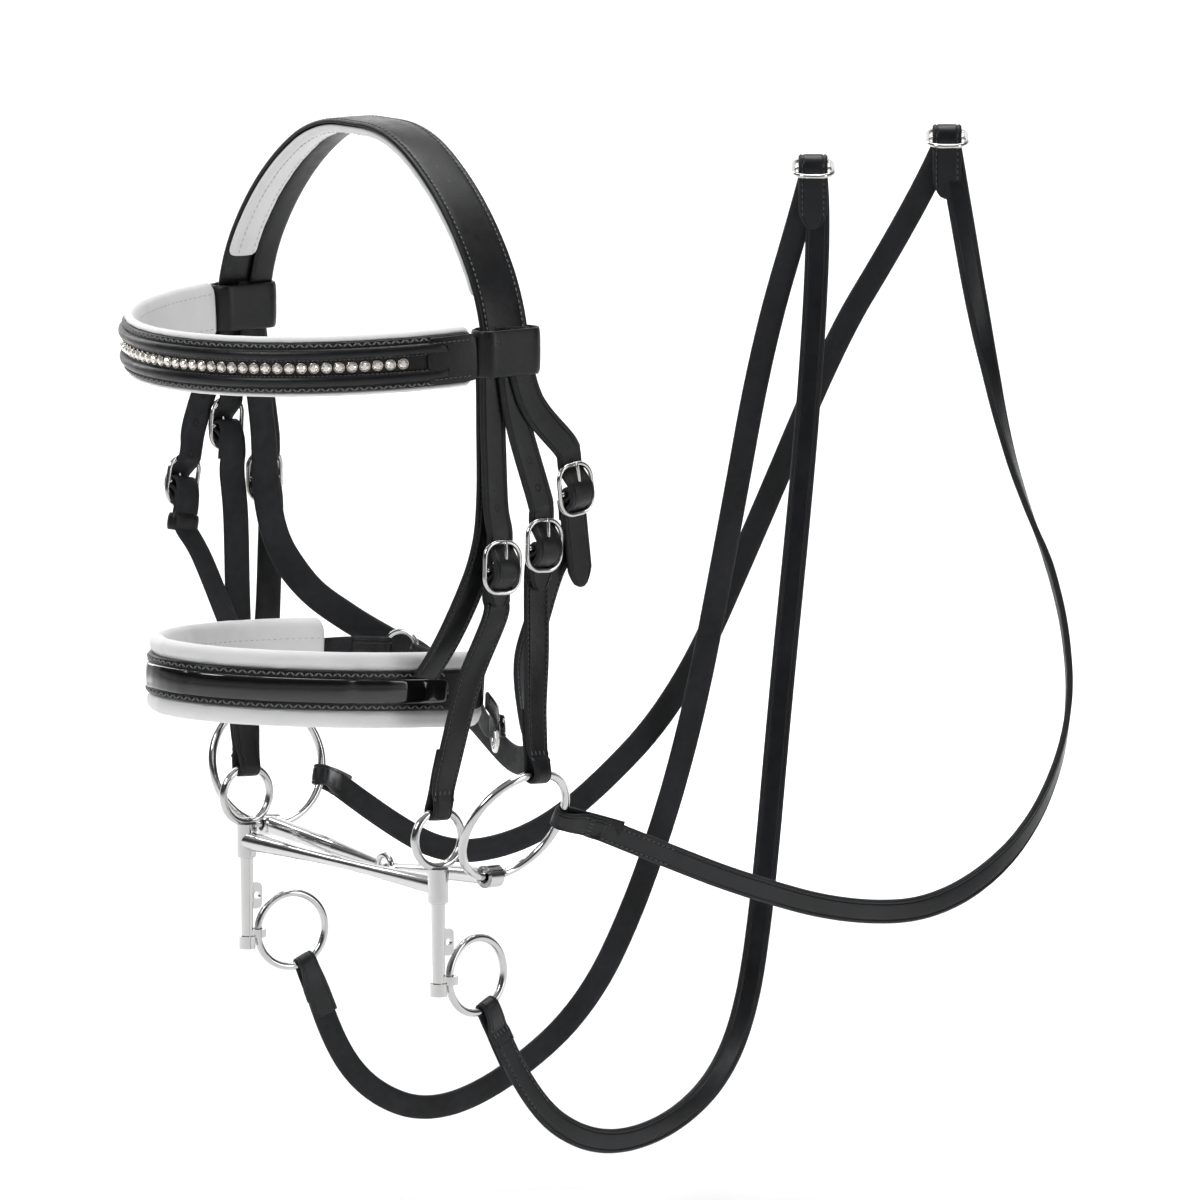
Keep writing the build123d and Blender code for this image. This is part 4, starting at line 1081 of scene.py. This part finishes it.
for side in (1, -1):
    browband_loop(side)
near_end, far_end = BROW.angles(2)[1], BROW.angles(2)[0]
for name, begin, finish in (("near", near_end - 0.19, near_end + 0.02), ("far", far_end - 0.02, far_end + 0.19)):
    tab = rounded([(-9.4, 4.9), (9.4, 4.9), (9.3, 6.3), (0, 6.6), (-9.3, 6.3)])
    band_skin(f"browband_tab_{name}", BROW, tab, [BLACK], lambda p, q: 0, np.linspace(begin, finish, 24),
              ())
    tip = begin + 0.015 if name == "near" else finish - 0.015
    for k, sign in enumerate((1, -1)):
        band_seam(f"browband_tab_{name}_stitching_{k}", BROW, sign * 7.2, 6.5, begin + 0.01, finish - 0.01, 2.0,
                  BLACK_THREAD, length=1.6, radius=0.22)

# noseband: white padding with a roll above and below the black strap, patent centre
NOSE = Band(52.5, 93.5, -218.5, -0.065, 13.0)
wave2 = gather(1.9, 0.16, 23)
white = rounded([(-13.0, 0.2), (-7, -0.3), (7, -0.3), (13.0, 0.2), (15.0, 2.0), (15.3, 4.4), (13.6, 6.6), (10.6, 7.2),
                 (8.0, 5.6), (7.2, 4.9), (0, 4.9), (-7.2, 4.9), (-8.0, 5.6), (-10.6, 7.2), (-13.6, 6.6),
                 (-15.3, 4.4), (-15.0, 2.0)])
nose_pad = band_skin("noseband_padding_soft", NOSE, white, [WHITE], lambda p, q: 0, NOSE.angles(320),
                     ("noseband_padding",), soft=lambda a, h, n: wave2(a) * (1.0 if abs(h) > 8 else 0.3))
black = rounded([(-7.9, 5.2), (7.9, 5.2), (8.1, 6.2), (7.7, 7.3), (6, 7.35), (0, 7.3), (-6, 7.35), (-7.7, 7.3),
                 (-8.1, 6.2)])
band_skin("noseband_strap_leather", NOSE, black, [BLACK], lambda p, q: 0, NOSE.angles(240),
          ("noseband_strap",))
shine = gather(0.8, 0.17, 21)
gloss = rounded([(-4.9, 7.2), (4.9, 7.2), (5.0, 7.8), (4.2, 8.6), (0, 8.9), (-4.2, 8.6), (-5.0, 7.8)])
patent_angles = NOSE.angles(220, -5.0)
band_skin("noseband_patent_leather", NOSE, gloss, [PATENT], lambda p, q: 0, patent_angles,
          ("noseband_patent",), soft=lambda a, h, n: shine(a) * (1 if n > 7.6 else 0))
for k, sign in enumerate((1, -1)):
    band_seam(f"noseband_edge_stitching_{k}", NOSE, sign * 6.4, 7.55, patent_angles[0], patent_angles[-1], 1.9,
              PAINTED_HIGHLIGHT_EDGE_THREAD, slant=0.8, length=2.1, radius=0.34)
    band_seam(f"noseband_inner_stitching_{k}", NOSE, sign * 7.2, -0.25, NOSE.angles(2)[0], NOSE.angles(2)[1], 3.1,
              GREY_THREAD, length=2.2, radius=0.2, inward=True)


# ------------------------------------------------------------------ crown: one chain of tangent arcs over the poll
class Crown:
    """The arc chain in the XZ plane: a place by distance from the middle, y and lift (mm)."""

    def __init__(self, arcs, flat=7.0):
        self.arcs, self.flat = arcs, flat

    def reach(self, lift=0.0):
        return self.flat + sum((r + lift) * math.radians(t) for r, t in self.arcs)

    def at(self, s, y, lift):
        side, s = (1 if s >= 0 else -1), abs(s)
        if s <= self.flat:
            return np.array((side * s, y, lift)), np.array((0, 0, 1.0))
        x, z, turn, left = self.flat, 0.0, 0.0, s - self.flat
        for r, t in self.arcs:
            step = min(left / r, math.radians(t))
            x += r * (math.sin(turn + step) - math.sin(turn))
            z -= r * (math.cos(turn) - math.cos(turn + step))
            turn += step
            left -= step * r
            if left <= 1e-9:
                break
        x, z = x + math.cos(turn) * 0 + math.sin(turn) * max(left, 0) * 0 + 0.0, z
        x += math.cos(turn) * max(left, 0)
        z -= math.sin(turn) * max(left, 0)
        n = np.array((side * math.sin(turn), 0, math.cos(turn)))
        return np.array((side * x, y, z)) + n * lift, n


def crown_skin(name, crown, section, material, replaces, soft=None, over=0.0, steps=220):
    """Sweep a closed (y, lift) section over the poll from temple to temple."""
    reach = crown.reach() + over
    rings = []
    for i, s in enumerate(np.linspace(-reach, reach, steps)):
        edge = min(i, steps - 1 - i)
        keep = (0.82, 0.94, 0.99)[edge] if edge < 3 else 1.0
        mid_y = sum(y for y, _ in section) / len(section)
        mid_l = sum(l for _, l in section) / len(section)
        ring = []
        for y, lift in section:
            push = soft(s, y, lift) if soft else 0.0
            ring.append(crown.at(s, mid_y + (y - mid_y) * keep, mid_l + (lift - mid_l) * keep + push)[0] * MM)
        rings.append(np.array(ring))
    verts, faces = skin(rings)
    piece = make_mesh(name, verts, [f[::-1] for f in faces], [material])
    return finish_piece(piece, replaces)


def crown_seam(name, crown, y, lift, pitch, material, length=1.9, radius=0.22, inner=False, reach=None):
    centres, dirs, ups = [], [], []
    reach = (crown.reach() - 2) if reach is None else reach
    for s in np.arange(-reach, reach, pitch):
        p, n = crown.at(s, y, lift)
        q, _ = crown.at(s + 0.5, y, lift)
        centres.append(p * MM)
        dirs.append(unit(q - p))
        ups.append(-n if inner else n)
    stitch_mesh(name, centres, dirs, ups, material, length=length * MM, radius=radius * MM)


CROWN = Crown(((60.0, 31.0), (122.0, 27.0), (72.0, 24.0)))
CROWN_PAD = Crown(((60.0, 31.0), (122.0, 27.0), (72.0, 8.0)))
wave3 = gather(2.2, 0.012, 3.1)
pad = rounded([(-10.2, 0.4), (-8.5, -0.2), (-4, -0.5), (0, -0.2), (1.9, 0.5), (2.0, 2.2), (0, 2.9), (-8, 2.95),
               (-10.2, 2.9), (-10.9, 2.2), (-10.9, 1.2)])
crown_pad = crown_skin("crown_padding_soft", CROWN_PAD, pad, WHITE, ("crown_padding",),
                       soft=lambda s, y, lift: 0.12 * math.sin(s * 0.55) * math.sin(s * 0.23 + 1) * (1 if lift < 1 else 0.4))
crown_seam("crown_padding_stitching", CROWN_PAD, -7.6, -0.38, 3.0, GREY_THREAD, length=2.2, radius=0.2, inner=True)
crown_seam("crown_padding_stitching_back", CROWN_PAD, -0.6, -0.3, 3.0, GREY_THREAD, length=2.2, radius=0.2, inner=True)
under = rounded([(2.4, 0.7), (12.8, 0.7), (13.0, 1.6), (12.8, 2.7), (2.4, 2.7)])
crown_skin("sliphead_strap", CROWN, under, BLACK, ("sliphead",), over=0.0)
outer = rounded([(-11.0, 3.2), (11.0, 3.2), (11.3, 4.2), (10.8, 5.2), (9.3, 5.15), (8.7, 4.9), (8.1, 5.3), (4, 5.55),
                 (-4, 5.55), (-8.1, 5.3), (-8.7, 4.9), (-9.3, 5.15), (-10.8, 5.2), (-11.3, 4.2)])
crown_skin("crown_strap_leather", CROWN, outer, BLACK, ("crown_strap",))
for k, y in enumerate((-8.7, 8.7)):
    crown_seam(f"crown_strap_stitching_{k}", CROWN, y, 5.3, 2.3, PAINTED_HIGHLIGHT_EDGE_THREAD, length=1.7, radius=0.27)

# ------------------------------------------------------------------ bits: kept CAD metal
for name, node in NODES.items():
    if name.startswith(("curb_mouthpiece", "curb_cheekpiece", "curb_rein_ring", "bradoon_arm", "bradoon_ring")) \
            or name == "chin_ring":
        node.data.materials.clear()
        node.data.materials.append(METAL)

# ------------------------------------------------------------------ floor and light
def flat_material(name, colour, rough):
    m, tree, shader = material(name, colour, roughness=rough, specular=0.1)
    tone = ramp(tree, noise(tree, 2.0).outputs["Fac"], ((0.2, tuple(c * 0.995 for c in colour)), (0.9, colour)))
    link(tree, tone.outputs["Color"], shader.inputs["Base Color"])
    return m


def studio():
    """A pale floor that curves up into a wall behind the bridle, and large soft lights."""
    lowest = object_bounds()[0].z - 0.030
    side = Vector((math.cos(AZIMUTH), math.sin(AZIMUTH), 0))
    away = Vector((-math.sin(AZIMUTH), math.cos(AZIMUTH), 0))
    profile = [(-6.0, 0.0), (1.6, 0.0)]
    profile += [(1.6 + 1.2 * math.sin(a), 1.2 - 1.2 * math.cos(a)) for a in np.linspace(0.1, math.pi / 2, 12)]
    profile += [(2.8, 5.0)]
    verts, faces = [], []
    for u, z in profile:
        for s in (-6.0, 6.0):
            verts.append(away * u + side * s + Vector((0, 0, lowest + z)))
    for i in range(len(profile) - 1):
        faces.append((2 * i, 2 * i + 1, 2 * i + 3, 2 * i + 2))
    floor = make_mesh("studio_floor", verts, faces, [flat_material("studio_paper", (0.93, 0.93, 0.93), 0.9)])

    def area(name, place, size, power, aim=(0, 0.05, -0.2)):
        data = bpy.data.lights.new(name, "AREA")
        data.shape = "RECTANGLE"
        data.size, data.size_y = size
        data.energy = power
        lamp = bpy.data.objects.new(name, data)
        lamp.location = place
        lamp.rotation_euler = (Vector(place) - Vector(aim)).to_track_quat("Z", "Y").to_euler()
        bpy.context.scene.collection.objects.link(lamp)

    def spot(right, back, up):
        return tuple(side * right - away * back + Vector((0, 0, up)))

    area("key", spot(-1.6, 1.5, 1.5), (0.9, 0.9), 21)
    area("fill", spot(2.0, 1.2, 0.3), (0.5, 1.8), 10)
    area("top", spot(0.2, -0.2, 2.0), (1.5, 0.9), 22)
    area("rim", spot(-1.2, -1.2, 0.7), (0.4, 1.4), 9)
    area("backdrop", spot(0.0, -0.9, 1.9), (2.6, 0.6), 42, tuple(spot(0.0, -2.6, 0.2)))
    area("backdrop_low", spot(0.0, -0.7, -0.2), (2.6, 0.4), 16, tuple(spot(0.0, -2.6, 0.5)))
    world = bpy.data.worlds.new("studio_world")
    world.use_nodes = True
    tree = world.node_tree
    place = tree.nodes.new("ShaderNodeTexCoord")
    split = tree.nodes.new("ShaderNodeSeparateXYZ")
    link(tree, place.outputs["Generated"], split.inputs["Vector"])
    sky = ramp(tree, split.outputs["Z"], ((0.0, (0.9, 0.9, 0.9)), (0.12, (0.10, 0.10, 0.11)), (0.45, (0.22, 0.22, 0.23)),
                                          (0.8, (0.85, 0.85, 0.86))))
    link(tree, sky.outputs["Color"], tree.nodes["Background"].inputs["Color"])
    tree.nodes["Background"].inputs["Strength"].default_value = 0.4
    bpy.context.scene.world = world


studio()
bpy.context.scene.view_settings.view_transform = "Standard"
